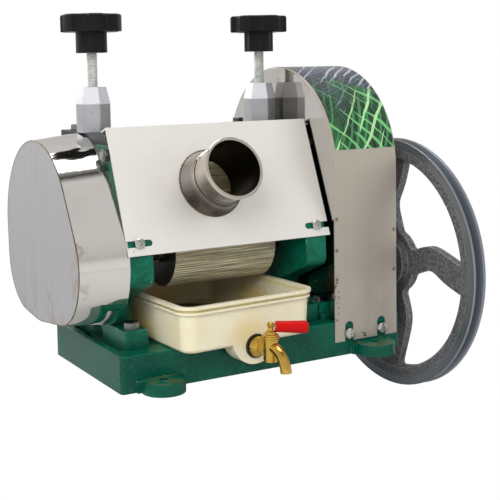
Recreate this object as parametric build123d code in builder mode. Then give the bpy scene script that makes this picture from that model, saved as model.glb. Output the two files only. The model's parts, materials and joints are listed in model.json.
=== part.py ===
"""Hand cranked sugarcane juicer: three ribbed rollers between two cast cheeks,
a geared flywheel drive, two pressure screws and a juice tray with a brass tap.
Millimetres, +Z up. X runs along the rollers, -Y is the feeding side,
and the origin is the middle of the base's underside."""
import math
import os
from build123d import *

os.makedirs("parts", exist_ok=True)

# ---------------------------------------------------------------- sizes
FIT = 0.03                 # radial running clearance of shafts in bushes
GAP = 0.4                  # free gap between parts that only pass each other

BASE_L, BASE_W, BASE_H = 382.0, 200.0, 42.0
BASE_WALL = 9.0
BASE_FLANGE = 24.0
BASE_TOP_T = 8.0
LUG_X, LUG_Y = BASE_L / 2 - 46, BASE_W / 2 + 10
LUG_R, LUG_H, LUG_HOLE_R = 24.5, 13.8, 5.5

CHEEK_T = 28.0
CHEEK_PITCH = 230.0
CHEEK_LX = -BASE_L / 2 + 29.5
CHEEK_RX = CHEEK_LX + CHEEK_PITCH
CHEEK_TOP = 280.0
FOOT_H = 21.0
FOOT_OUT, FOOT_IN = 78.0, 15.0

MODULE = 4.0
ROLLER_TEETH = 23
BULL_TEETH, PINION_TEETH = 53, 20
GEAR_T = 22.0
LIFT = 3.0                                # how far the top roller can rise
TOOTH_SLACK = 0.60 * LIFT + 0.10          # backlash, so that the teeth still turn when it is up

ROLLER_L = 134.0
ROLLER_X0 = -105.0
ROLLER_R = 45.0
ROLLER_C = MODULE * ROLLER_TEETH          # centre distance of meshing rollers
ROLLER_A = 52.0                           # half spacing of the lower rollers
ROLLER_B = math.sqrt(ROLLER_C ** 2 - ROLLER_A ** 2)
TOP_Y = 30.0
LOW_Z = 142.0
TOP_Z = LOW_Z + ROLLER_B
FRONT_Y, REAR_Y = TOP_Y - ROLLER_A, TOP_Y + ROLLER_A
SHAFT_R = 14.0
BUSH_T = 4.0
RIB_COUNT, RIB_DEPTH = 90, 1.1

BLOCK_W, BLOCK_H = 52.0, 54.0
CAP_T = 12.0                              # steel plate closing the top of each cheek
SEAT_Z = CHEEK_TOP - CAP_T
CAP_BOLTS = (-24.0, 86.0)

TOWER_R, TOWER_TOP_R = 20.6, 15.6         # across the corners, halved
TOWER_BREAK, TOWER_TOP = 313.0, 333.0
SCREW_R, SCREW_PITCH = 6.4, 1.75
KNOB_R, KNOB_HUB_R = 36.0, 18.4
KNOB_TURN = {"left": 47.6, "right": 61.6}   # where the knobs were left
KNOB_Z0, KNOB_Z1, KNOB_Z2 = 373.0, 397.5, 418.0

SHIELD_T = 1.5
SHIELD_X0, SHIELD_X1 = -178.0, 87.5
SHIELD_Y, SHIELD_Z = -98.4, 150.5         # lower edge
SHIELD_LEN, SHIELD_TILT = 148.5, 21.57
SHIELD_SCREW = (-162.5, 70.5, 13.5)       # x, x, distance up the slope
TUBE_X, TUBE_S = -60.0, 75.5
TUBE_R, TUBE_WALL, TUBE_OUT = 33.2, 1.4, 60.0
TUBE_LIP_R, COLLAR_R, COLLAR_H = 35.8, 39.4, 26.0

SHEET = 1.2
COVER_X0 = CHEEK_RX + CHEEK_T / 2 + 9.0    # drive cover
COVER_X1 = COVER_X0 + 94.0
COVER_Y0 = -BASE_W / 2 - 1.6
COVER_R = 125.6
COVER_ZC = 227.0
COVER_Z0 = 17.4
COVER_YC = COVER_Y0 + COVER_R
COVER_SCREWS = (112.6, 161.4, 26.7)
SIDE_Z0 = 47.0

LCOVER_DEPTH = 58.0                       # roller gear cover
LCOVER_FLARE = 6.5
LCOVER_TOP = (38.6, 167.0, 105.7)
LCOVER_FRONT = (-24.5, 136.0, 67.3)
LCOVER_REAR = (77.0, 130.6, 65.6)

WHEEL_Y, WHEEL_Z = -53.5, 98.2
WHEEL_X0, WHEEL_T = COVER_X1 + 26.0, 18.0
WHEEL_R, WHEEL_IN_R = 160.0, 137.0
HUB_R, HUB_X0, HUB_X1 = 31.0, WHEEL_X0 - 2.5, WHEEL_X0 + 22.5
DRIVE_SHAFT_R = 12.5
CRANK_R = 119.5

TRAY_O = (CHEEK_LX + 33.5, -BASE_W / 2 - 33.3)                 # front left corner of the tray floor
TRAY_TURN = 3.0
TRAY_W, TRAY_D, TRAY_Z1 = 168.7, 225.0, 95.0
TRAY_DRAFT, TRAY_WALL, TRAY_RIM = 2.4, 2.5, 4.0
TAP_U, TAP_Z = 90.2, 39.5

BOLT_R, BOLT_Y = 5.0, 64.0
COVER_SCREW_R = 4.0
HOUSING_BOLTS = [(91.5, -66.0), (154.0, -30.0), (174.0, -76.0)]

cheek_x = {"left": CHEEK_LX, "right": CHEEK_RX}


def save(part, label):
    part.label = label
    export_step(part, "parts/%s.step" % label)


def yz(x, y=0.0, z=0.0):
    """Sketch plane across the machine at x: local x is Y, local y is Z."""
    return Plane(origin=(x, y, z), x_dir=(0, 1, 0), z_dir=(1, 0, 0))


def gear_outline(teeth, phase, ra_extra=0.9):
    """Outline of an involute gear about the origin as lines and arcs."""
    rp = MODULE * teeth / 2
    rb = rp * math.cos(math.radians(20))
    rt = rp + ra_extra * MODULE
    rr = rp - 1.25 * MODULE
    inv20 = math.tan(math.radians(20)) - math.radians(20)
    half = math.pi / (2 * teeth) - TOOTH_SLACK / 4 / rp

    def off(r):
        a = math.acos(min(1.0, rb / r))
        return half + inv20 - (math.tan(a) - a)

    def pt(r, a):
        return (r * math.cos(a), r * math.sin(a))

    r0 = max(rb, rr + 0.2)
    rm = (r0 + rt) / 2
    for i in range(teeth):
        c = phase + 2 * math.pi * i / teeth
        n = c + 2 * math.pi / teeth
        if r0 > rr:
            Line(pt(rr, c - off(r0)), pt(r0, c - off(r0)))
        ThreePointArc(pt(r0, c - off(r0)), pt(rm, c - off(rm)), pt(rt, c - off(rt)))
        ThreePointArc(pt(rt, c - off(rt)), pt(rt, c), pt(rt, c + off(rt)))
        ThreePointArc(pt(rt, c + off(rt)), pt(rm, c + off(rm)), pt(r0, c + off(r0)))
        if r0 > rr:
            Line(pt(r0, c + off(r0)), pt(rr, c + off(r0)))
        ThreePointArc(pt(rr, c + off(r0)), pt(rr, (c + n) / 2), pt(rr, n - off(r0)))


def mesh_phase(theta, phase, teeth, other):
    """Phase of a gear lying at angle theta from one with a known phase."""
    alpha = (phase - theta) % (2 * math.pi / teeth)
    return theta + math.pi - alpha * teeth / other + math.pi / other


TOP_PHASE = 0.0
front_dir = math.atan2(LOW_Z - TOP_Z, FRONT_Y - TOP_Y)
rear_dir = math.atan2(LOW_Z - TOP_Z, REAR_Y - TOP_Y)
wheel_dir = math.atan2(WHEEL_Z - TOP_Z, WHEEL_Y - TOP_Y)
FRONT_PHASE = mesh_phase(front_dir, TOP_PHASE, ROLLER_TEETH, ROLLER_TEETH)
REAR_PHASE = mesh_phase(rear_dir, TOP_PHASE, ROLLER_TEETH, ROLLER_TEETH)
PINION_PHASE = mesh_phase(wheel_dir, TOP_PHASE, BULL_TEETH, PINION_TEETH)

# ---------------------------------------------------------------- base casting
with BuildPart() as base:
    with BuildSketch(Plane.XY):
        RectangleRounded(BASE_L, BASE_W, 5)
    extrude(amount=BASE_H)
    fillet(base.edges().group_by(Axis.Z)[-1], 2.0)
    with BuildSketch(Plane.XY):
        RectangleRounded(BASE_L - 2 * BASE_WALL, BASE_W - 2 * BASE_WALL, 6)
    extrude(amount=BASE_H - BASE_TOP_T, mode=Mode.SUBTRACT)
    # the top is open at both ends and under the rollers
    with BuildSketch(Plane.XY.offset(BASE_H - BASE_TOP_T)):
        with Locations((CHEEK_LX + CHEEK_PITCH / 2, 0)):
            Rectangle(CHEEK_PITCH - 90, BASE_W - 2 * BASE_FLANGE)
        with Locations((CHEEK_LX - 4, 0)):
            Rectangle(CHEEK_T + 10, 2 * FOOT_IN + 20)
        with Locations((-BASE_L / 2 + BASE_WALL + 3.5, 0)):
            Rectangle(7, BASE_W - 2 * BASE_FLANGE)
    extrude(amount=BASE_TOP_T, mode=Mode.SUBTRACT)
    with Locations(*[(sx * LUG_X, sy * LUG_Y, 0) for sx in (-1, 1) for sy in (-1, 1)]):
        Cylinder(LUG_R, LUG_H, align=(Align.CENTER, Align.CENTER, Align.MIN))
    with BuildSketch(Plane.XY):
        for sy in (-1, 1):
            with Locations(*[(sx * LUG_X, sy * (BASE_W / 2 - BASE_WALL / 2 + 2)) for sx in (-1, 1)]):
                Rectangle(2 * LUG_R + 8, BASE_WALL + 4)
    extrude(amount=LUG_H - 1.0)
    with BuildSketch(Plane.XY):
        RectangleRounded(BASE_L - 2 * BASE_WALL, BASE_W - 2 * BASE_WALL, 6)
    extrude(amount=LUG_H + 2, mode=Mode.SUBTRACT)
    with Locations(*[(sx * LUG_X, sy * LUG_Y, 0) for sx in (-1, 1) for sy in (-1, 1)]):
        Cylinder(LUG_HOLE_R, 3 * LUG_H, mode=Mode.SUBTRACT)
    with Locations(*[(cx, sy * BOLT_Y, BASE_H) for cx in cheek_x.values() for sy in (-1, 1)]):
        Cylinder(BOLT_R + 0.2, 3 * BASE_TOP_T, mode=Mode.SUBTRACT)
    with Locations(*[(x, y, BASE_H) for x, y in HOUSING_BOLTS]):
        Cylinder(BOLT_R - 1 + 0.2, 3 * BASE_TOP_T, mode=Mode.SUBTRACT)
    with BuildSketch(Plane(origin=(0, -BASE_W / 2, 0), x_dir=(1, 0, 0), z_dir=(0, -1, 0))):
        with Locations(*[(x, COVER_SCREWS[2]) for x in COVER_SCREWS[:2]]):
            Circle(COVER_SCREW_R)
    extrude(amount=-BASE_WALL, mode=Mode.SUBTRACT)
save(base.part, "base_casting")

# ---------------------------------------------------------------- cheeks
slope = math.tan(math.radians(SHIELD_TILT))
EDGE_OFF = SHIELD_T / math.cos(math.radians(SHIELD_TILT))


def shield_y(z, back=0.0):
    """Y of the shield's outer face at height z, moved back into the machine."""
    return SHIELD_Y + (z - SHIELD_Z) * slope + back


SHIELD_MID = (SHIELD_X0 + SHIELD_X1) / 2
SHIELD_SCREW_R = 3.0
tilt = math.radians(SHIELD_TILT)
shield_out = (0, -math.cos(tilt), math.sin(tilt))
shield_plane = Plane(origin=(SHIELD_MID, SHIELD_Y, SHIELD_Z), x_dir=(1, 0, 0), z_dir=shield_out)
TIE_R = 4.0
TIE_RODS = [(-44.0, 258.0), (92.0, 250.0)]

NOSE_Z = 124.0
nose_y = shield_y(SHIELD_Z, EDGE_OFF) - 1.0
CAP_Y0, CAP_Y1 = shield_y(CHEEK_TOP, EDGE_OFF) + 1.0, 104.0


def cheek_outline():
    p_top = (shield_y(SEAT_Z, EDGE_OFF), SEAT_Z)
    p_low = (shield_y(SHIELD_Z + 4, EDGE_OFF), SHIELD_Z + 4)
    Line(p_top, p_low)
    Line(p_low, (nose_y + 1, NOSE_Z))
    ThreePointArc((nose_y + 1, NOSE_Z), (nose_y + 4.5, NOSE_Z - 8), (nose_y + 13, NOSE_Z - 12.5))
    Line((nose_y + 13, NOSE_Z - 12.5), (-42, 93))
    ThreePointArc((-42, 93), (-33.5, 87), (-30, 77))
    Line((-30, 77), (-30, BASE_H + FOOT_H))
    Line((-30, BASE_H + FOOT_H), (-FOOT_OUT, BASE_H + FOOT_H))
    Line((-FOOT_OUT, BASE_H + FOOT_H), (-FOOT_OUT, BASE_H))
    Line((-FOOT_OUT, BASE_H), (-FOOT_IN, BASE_H))
    ThreePointArc((-FOOT_IN, BASE_H), (0, BASE_H + 17), (FOOT_IN, BASE_H))
    Line((FOOT_IN, BASE_H), (FOOT_OUT, BASE_H))
    Line((FOOT_OUT, BASE_H), (FOOT_OUT, BASE_H + FOOT_H))
    Line((FOOT_OUT, BASE_H + FOOT_H), (51, BASE_H + FOOT_H))
    ThreePointArc((51, BASE_H + FOOT_H), (58, 87), (84, 99))
    ThreePointArc((84, 99), (103, 103), (109, 116))
    Line((109, 116), (109, 236))
    Line((109, 236), (CAP_Y1, SEAT_Z))
    Line((CAP_Y1, SEAT_Z), p_top)


caps = []
for side, cx in cheek_x.items():
    with BuildPart() as cheek:
        with BuildSketch(yz(cx - CHEEK_T / 2)):
            with BuildLine():
                cheek_outline()
            make_face()
        extrude(amount=CHEEK_T)
        # window for the sliding bearing block, closed by the cap
        with BuildSketch(yz(cx - CHEEK_T / 2)):
            with Locations((TOP_Y, (TOP_Z - BLOCK_H / 2 + SEAT_Z) / 2)):
                Rectangle(BLOCK_W, SEAT_Z - TOP_Z + BLOCK_H / 2)
            with Locations((FRONT_Y, LOW_Z), (REAR_Y, LOW_Z)):
                Circle(SHAFT_R + BUSH_T)
        extrude(amount=CHEEK_T, mode=Mode.SUBTRACT)
        # cored pocket that lightens the casting's outer side
        outer = cx - CHEEK_T / 2 if side == "left" else cx + CHEEK_T / 2 - 6
        with BuildSketch(yz(outer)):
            with Locations((TOP_Y - 58, 208)):
                RectangleRounded(26, 44, 8)
            with Locations((TOP_Y + 56, 210)):
                RectangleRounded(24, 48, 8)
        extrude(amount=6, mode=Mode.SUBTRACT)
        with Locations(*[(cx, sy * BOLT_Y, BASE_H) for sy in (-1, 1)]):
            Cylinder(BOLT_R + 0.2, 3 * FOOT_H, mode=Mode.SUBTRACT)
        with BuildSketch(shield_plane):
            with Locations(*[(x - SHIELD_MID, SHIELD_SCREW[2]) for x in SHIELD_SCREW[:2]]):
                Circle(SHIELD_SCREW_R)
        extrude(amount=-24, mode=Mode.SUBTRACT)
        with BuildSketch(yz(cx - CHEEK_T / 2)):
            with Locations(*TIE_RODS):
                Circle(TIE_R)
        extrude(amount=CHEEK_T, mode=Mode.SUBTRACT)
    save(cheek.part, "cheek_%s" % side)

    with BuildPart() as cap:
        with BuildSketch(yz(cx - CHEEK_T / 2)):
            with Locations(((CAP_Y0 + CAP_Y1) / 2, CHEEK_TOP - CAP_T / 2)):
                Rectangle(CAP_Y1 - CAP_Y0, CAP_T)
        extrude(amount=CHEEK_T)
        fillet(cap.edges().filter_by(Axis.Z), 3)
        with Locations((cx, TOP_Y, CHEEK_TOP)):
            Cylinder(SCREW_R + 0.3, 3 * CAP_T, mode=Mode.SUBTRACT)
        with Locations(*[(cx, y, CHEEK_TOP) for y in CAP_BOLTS]):
            Cylinder(4.0, 3 * CAP_T, mode=Mode.SUBTRACT)
    caps.append(cap.part)

    with BuildPart() as tower:
        with BuildSketch(Plane.XY.offset(CHEEK_TOP)):
            with Locations((cx, TOP_Y)):
                RegularPolygon(TOWER_R, 6, rotation=30)
        extrude(amount=TOWER_BREAK - CHEEK_TOP)
        with BuildSketch(Plane.XY.offset(TOWER_BREAK)):
            with Locations((cx, TOP_Y)):
                RegularPolygon(TOWER_R, 6, rotation=30)
        with BuildSketch(Plane.XY.offset(TOWER_TOP)):
            with Locations((cx, TOP_Y)):
                RegularPolygon(TOWER_TOP_R, 6, rotation=30)
        loft()
        fillet(tower.edges().filter_by(Axis.Z), 2.2)
        with Locations((cx, TOP_Y, TOWER_TOP)):
            Cylinder(SCREW_R + 0.05, 400, mode=Mode.SUBTRACT)
    save(tower.part, "screw_tower_%s" % side)

save(Compound(children=caps), "bearing_caps")

# ---------------------------------------------------------------- top roller carriage
blocks = []
pads = []
for side, cx in cheek_x.items():
    with BuildPart() as block:
        with BuildSketch(yz(cx - CHEEK_T / 2 + GAP)):
            with Locations((TOP_Y, TOP_Z)):
                Rectangle(BLOCK_W - 2 * GAP, BLOCK_H - 0.1)
                Circle(SHAFT_R + BUSH_T, mode=Mode.SUBTRACT)
        extrude(amount=CHEEK_T - 2 * GAP)
    blocks.append(block.part)
    with BuildPart() as pad:
        with Locations((cx, TOP_Y, TOP_Z + BLOCK_H / 2)):
            Cylinder(9, 5, align=(Align.CENTER, Align.CENTER, Align.MIN))
    pads.append(pad.part)
save(Compound(children=blocks), "bearing_blocks")
save(Compound(children=pads), "thrust_pads")


def bush(x, y, z):
    with BuildPart() as b:
        with BuildSketch(yz(x)):
            with Locations((y, z)):
                Circle(SHAFT_R + BUSH_T - 0.02)
                Circle(SHAFT_R + FIT, mode=Mode.SUBTRACT)
        extrude(amount=CHEEK_T)
    return b.part


def edge_x(cx):
    return cx - CHEEK_T / 2


save(Compound(children=[bush(edge_x(c), TOP_Y, TOP_Z) for c in cheek_x.values()]), "top_roller_bushes")
save(Compound(children=[bush(edge_x(c), y, LOW_Z) for c in cheek_x.values() for y in (FRONT_Y, REAR_Y)]),
     "lower_roller_bushes")

# ---------------------------------------------------------------- rollers
ROLLER_BORE = 16.0
LEFT_OUT = CHEEK_LX - CHEEK_T / 2
RIGHT_OUT = CHEEK_RX + CHEEK_T / 2
GEAR_X0 = LEFT_OUT - 3 - GEAR_T
BULL_X0 = COVER_X0 + 8.5
roller_at = {
    "top": (TOP_Y, TOP_Z, ROLLER_R),
    "front": (FRONT_Y, LOW_Z, ROLLER_R),
    "rear": (REAR_Y, LOW_Z, ROLLER_R + 0.5),
}
for name, (y, z, r) in roller_at.items():
    with BuildPart() as roller:
        with BuildSketch(yz(ROLLER_X0)):
            with Locations((y, z)):
                Circle(r)
                with PolarLocations(r, RIB_COUNT):
                    RegularPolygon(RIB_DEPTH, 3, rotation=180, mode=Mode.SUBTRACT)
                Circle(ROLLER_BORE, mode=Mode.SUBTRACT)
        extrude(amount=ROLLER_L)
    save(roller.part, "%s_roller" % name)

    x1 = BULL_X0 + GEAR_T + 14 if name == "top" else RIGHT_OUT + 6
    x0 = GEAR_X0 - 12
    with BuildPart() as shaft:
        with BuildSketch(yz(x0)):
            with Locations((y, z)):
                Circle(SHAFT_R)
        extrude(amount=x1 - x0)
        with BuildSketch(yz(ROLLER_X0 - 5)):
            with Locations((y, z)):
                Circle(ROLLER_BORE)
        extrude(amount=ROLLER_L + 10)
        if name != "top":
            with BuildSketch(yz(RIGHT_OUT + 1.5)):
                with Locations((y, z)):
                    Circle(SHAFT_R + 5)
            extrude(amount=4.5)
        chamfer(shaft.edges().filter_by(GeomType.CIRCLE).group_by(Axis.X)[0], 1.5)
        chamfer(shaft.edges().filter_by(GeomType.CIRCLE).group_by(Axis.X)[-1], 1.0)
    save(shaft.part, "%s_roller_shaft" % name)

for name, phase in (("top", TOP_PHASE), ("front", FRONT_PHASE), ("rear", REAR_PHASE)):
    y, z, _ = roller_at[name]
    with BuildPart() as gear:
        with BuildSketch(yz(GEAR_X0, y, z)):
            with BuildLine():
                gear_outline(ROLLER_TEETH, phase)
            make_face()
            Circle(SHAFT_R, mode=Mode.SUBTRACT)
        extrude(amount=GEAR_T)
        with BuildSketch(yz(GEAR_X0)):
            with Locations((y, z)):
                Circle(34)
                Circle(22, mode=Mode.SUBTRACT)
        extrude(amount=5, mode=Mode.SUBTRACT)
    save(gear.part, "%s_roller_gear" % name)

# ---------------------------------------------------------------- gear train
with BuildPart() as bull:
    with BuildSketch(yz(BULL_X0, TOP_Y, TOP_Z)):
        with BuildLine():
            gear_outline(BULL_TEETH, TOP_PHASE)
        make_face()
        Circle(SHAFT_R, mode=Mode.SUBTRACT)
    extrude(amount=GEAR_T)
    bull_ring = MODULE * BULL_TEETH / 2 - 15
    for x0 in (BULL_X0, BULL_X0 + GEAR_T - 6):
        with BuildSketch(yz(x0)):
            with Locations((TOP_Y, TOP_Z)):
                Circle(bull_ring)
                Circle(28, mode=Mode.SUBTRACT)
        extrude(amount=6, mode=Mode.SUBTRACT)
    with BuildSketch(yz(BULL_X0)):
        with Locations((TOP_Y, TOP_Z)):
            with PolarLocations(bull_ring - 31, 6, start_angle=30):
                Circle(19)
    extrude(amount=GEAR_T, mode=Mode.SUBTRACT)
save(bull.part, "bull_gear")

with BuildPart() as pinion:
    with BuildSketch(yz(BULL_X0 - 1, WHEEL_Y, WHEEL_Z)):
        with BuildLine():
            gear_outline(PINION_TEETH, PINION_PHASE)
        make_face()
        Circle(DRIVE_SHAFT_R, mode=Mode.SUBTRACT)
    extrude(amount=GEAR_T + 2)
save(pinion.part, "drive_pinion")


def hex_nut(x0, t, y, z, af, r, turn=0):
    with BuildPart() as n:
        with BuildSketch(yz(x0)):
            with Locations((y, z)):
                RegularPolygon(af / 2, 6, major_radius=False, rotation=turn)
                Circle(r, mode=Mode.SUBTRACT)
        extrude(amount=t)
    return n.part


NUT_T = 10.0
shaft_nuts = {name: [hex_nut(GEAR_X0 - NUT_T, NUT_T, y, z, 36, SHAFT_R)] for name, (y, z, _) in roller_at.items()}
shaft_nuts["top"].append(hex_nut(BULL_X0 + GEAR_T, NUT_T, TOP_Y, TOP_Z, 36, SHAFT_R))
save(Compound(children=shaft_nuts["top"]), "top_shaft_nuts")
save(shaft_nuts["front"][0], "front_shaft_nut")
save(shaft_nuts["rear"][0], "rear_shaft_nut")

# ---------------------------------------------------------------- drive housing
HOUSING_FOOT = 8.0
HOUSING_BORE = DRIVE_SHAFT_R + BUSH_T
stands = ((128.0, 18.0), (160.0, 18.0))
with BuildPart() as housing:
    with BuildSketch(Plane.XY.offset(BASE_H)):
        with Locations(((84.5 + 183) / 2, -53.5)):
            RectangleRounded(183 - 84.5, 60, 4)
    extrude(amount=HOUSING_FOOT)
    with BuildSketch(Plane.XY.offset(BASE_H)):
        with Locations((91.0, -56)):
            Rectangle(13, 46)
    extrude(amount=FOOT_H)
    for x0, t in stands:
        with BuildSketch(yz(x0)):
            with Locations((WHEEL_Y, WHEEL_Z)):
                Circle(HOUSING_BORE + 8)
            with BuildLine():
                Polyline((WHEEL_Y - 23, WHEEL_Z), (WHEEL_Y - 28, BASE_H + 2), (WHEEL_Y + 28, BASE_H + 2),
                         (WHEEL_Y + 23, WHEEL_Z), close=True)
            make_face()
            with Locations((WHEEL_Y, WHEEL_Z)):
                Circle(HOUSING_BORE, mode=Mode.SUBTRACT)
        extrude(amount=t)
    with Locations(*[(x, y, BASE_H) for x, y in HOUSING_BOLTS]):
        Cylinder(BOLT_R - 1 + 0.2, 90, mode=Mode.SUBTRACT)
    with Locations(*[(x, y, BASE_H + HOUSING_FOOT) for x, y in HOUSING_BOLTS[1:]]):
        Cylinder(9, 60, align=(Align.CENTER, Align.CENTER, Align.MIN), mode=Mode.SUBTRACT)
save(housing.part, "drive_bearing_housing")

drive_bushes = []
for x0, t in stands:
    with BuildPart() as b:
        with BuildSketch(yz(x0)):
            with Locations((WHEEL_Y, WHEEL_Z)):
                Circle(HOUSING_BORE - 0.02)
                Circle(DRIVE_SHAFT_R + FIT, mode=Mode.SUBTRACT)
        extrude(amount=t)
    drive_bushes.append(b.part)
save(Compound(children=drive_bushes), "drive_bushes")

WHEEL_END_R = 10.0
with BuildPart() as dshaft:
    with BuildSketch(yz(BULL_X0 - 4)):
        with Locations((WHEEL_Y, WHEEL_Z)):
            Circle(DRIVE_SHAFT_R)
    extrude(amount=HUB_X1 - BULL_X0 + 4)
    with BuildSketch(yz(HUB_X1)):
        with Locations((WHEEL_Y, WHEEL_Z)):
            Circle(WHEEL_END_R)
    extrude(amount=18)
    chamfer(dshaft.edges().filter_by(GeomType.CIRCLE).group_by(Axis.X)[-1], 1.2)
save(dshaft.part, "flywheel_shaft")

with BuildPart() as collar:
    with BuildSketch(yz(COVER_X1 + 1.0)):
        with Locations((WHEEL_Y, WHEEL_Z)):
            Circle(19)
            Circle(DRIVE_SHAFT_R, mode=Mode.SUBTRACT)
    extrude(amount=HUB_X0 - COVER_X1 - 1.0)
save(collar.part, "shaft_collar")

# ---------------------------------------------------------------- flywheel
wheel_axis = Axis((WHEEL_X0, WHEEL_Y, WHEEL_Z), (1, 0, 0))
wheel_plane = Plane(origin=(WHEEL_X0, WHEEL_Y, WHEEL_Z), x_dir=(1, 0, 0), z_dir=(0, -1, 0))
GROOVE = 10.0
# spoke: radius, the angle it swings away from straight, half its width there
SPOKE_LINE = [(41, 4.0, 15.5), (60, 9.5, 15.2), (76, 9.8, 15.6), (92, 5.0, 17.5), (117, -0.7, 17.8), (139, -3.0, 17.5)]


def spoke_edge(base_deg, side):
    pts = []
    for r, swing, half in SPOKE_LINE:
        a = math.radians(base_deg - swing) + side * half / r
        pts.append((r * math.cos(a), r * math.sin(a)))
    return pts


with BuildSketch(yz(WHEEL_X0 + 7)) as window:
    with BuildLine():
        e1 = spoke_edge(0, 1)
        e2 = spoke_edge(90, -1)
        Spline(*e1)
        Spline(*e2)
        for p, q in ((e1[0], e2[0]), (e1[-1], e2[-1])):
            r = math.hypot(*p)
            a = (math.atan2(p[1], p[0]) + math.atan2(q[1], q[0])) / 2
            ThreePointArc(p, (r * math.cos(a), r * math.sin(a)), q)
    make_face()
    inner = window.vertices().filter_by(lambda v: v.Y ** 2 + v.Z ** 2 < 60 ** 2)
    fillet(inner, 8)
    outer = window.vertices().filter_by(lambda v: v.Y ** 2 + v.Z ** 2 > 130 ** 2)
    fillet(outer, 6)

with BuildPart() as wheel:
    with BuildSketch(wheel_plane):
        with BuildLine():
            Polyline((0, WHEEL_IN_R + 1), (0, WHEEL_R), (2.8, WHEEL_R), (6.6, WHEEL_R - GROOVE),
                     (WHEEL_T - 6.6, WHEEL_R - GROOVE), (WHEEL_T - 2.8, WHEEL_R), (WHEEL_T, WHEEL_R),
                     (WHEEL_T, WHEEL_IN_R + 1), (WHEEL_T - 3, WHEEL_IN_R - 1), (3, WHEEL_IN_R - 1), close=True)
        make_face()
    revolve(axis=wheel_axis)
    with BuildSketch(yz(WHEEL_X0 + 7)):
        with Locations((WHEEL_Y, WHEEL_Z)):
            Circle(WHEEL_IN_R + 1)
            with PolarLocations(0, 4):
                add(window.sketch_local, mode=Mode.SUBTRACT)
    extrude(amount=10)
    with BuildSketch(yz(HUB_X0)):
        with Locations((WHEEL_Y, WHEEL_Z)):
            Circle(HUB_R)
    extrude(amount=HUB_X1 - HUB_X0)
    crank_y = WHEEL_Y + CRANK_R
    with BuildSketch(yz(WHEEL_X0 + 5)):
        with Locations((crank_y, WHEEL_Z)):
            Circle(14)
    extrude(amount=WHEEL_T - 5)
    with BuildSketch(yz(HUB_X0)):
        with Locations((WHEEL_Y, WHEEL_Z)):
            Circle(DRIVE_SHAFT_R)
        with Locations((crank_y, WHEEL_Z)):
            Circle(6)
    extrude(amount=60, mode=Mode.SUBTRACT)
save(wheel.part, "flywheel")

with BuildPart() as wwasher:
    with BuildSketch(yz(HUB_X1)):
        with Locations((WHEEL_Y, WHEEL_Z)):
            Circle(20)
            Circle(WHEEL_END_R, mode=Mode.SUBTRACT)
    extrude(amount=3)
save(Compound(children=[wwasher.part, hex_nut(HUB_X1 + 3.01, 12, WHEEL_Y, WHEEL_Z, 30, WHEEL_END_R, 10)]),
     "flywheel_nut_and_washer")

STUD_X1 = WHEEL_X0 + WHEEL_T + 70
GRIP_X0, GRIP_X1 = WHEEL_X0 + WHEEL_T + 3, STUD_X1 - 5
with BuildPart() as stud:
    with BuildSketch(yz(WHEEL_X0 - 4)):
        with Locations((crank_y, WHEEL_Z)):
            Circle(6)
    extrude(amount=STUD_X1 - WHEEL_X0 + 4)
    with BuildSketch(yz(WHEEL_X0 - 4)):
        with Locations((crank_y, WHEEL_Z)):
            RegularPolygon(9, 6, major_radius=False)
    extrude(amount=9)
    with BuildSketch(yz(GRIP_X1 + 0.5)):
        with Locations((crank_y, WHEEL_Z)):
            Circle(9)
    extrude(amount=4.5)
save(stud.part, "crank_stud")
with BuildPart() as grip:
    with BuildSketch(Plane(origin=(GRIP_X0, crank_y, WHEEL_Z), x_dir=(1, 0, 0), z_dir=(0, -1, 0))):
        gl = GRIP_X1 - GRIP_X0
        with BuildLine():
            Line((0, 6.05), (0, 11))
            Spline((0, 11), (gl * 0.3, 14.5), (gl * 0.65, 15.5), (gl - 3, 13))
            Line((gl - 3, 13), (gl, 10))
            Line((gl, 10), (gl, 6.05))
            Line((gl, 6.05), (0, 6.05))
        make_face()
    revolve(axis=Axis((GRIP_X0, crank_y, WHEEL_Z), (1, 0, 0)))
save(grip.part, "crank_grip")

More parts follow.
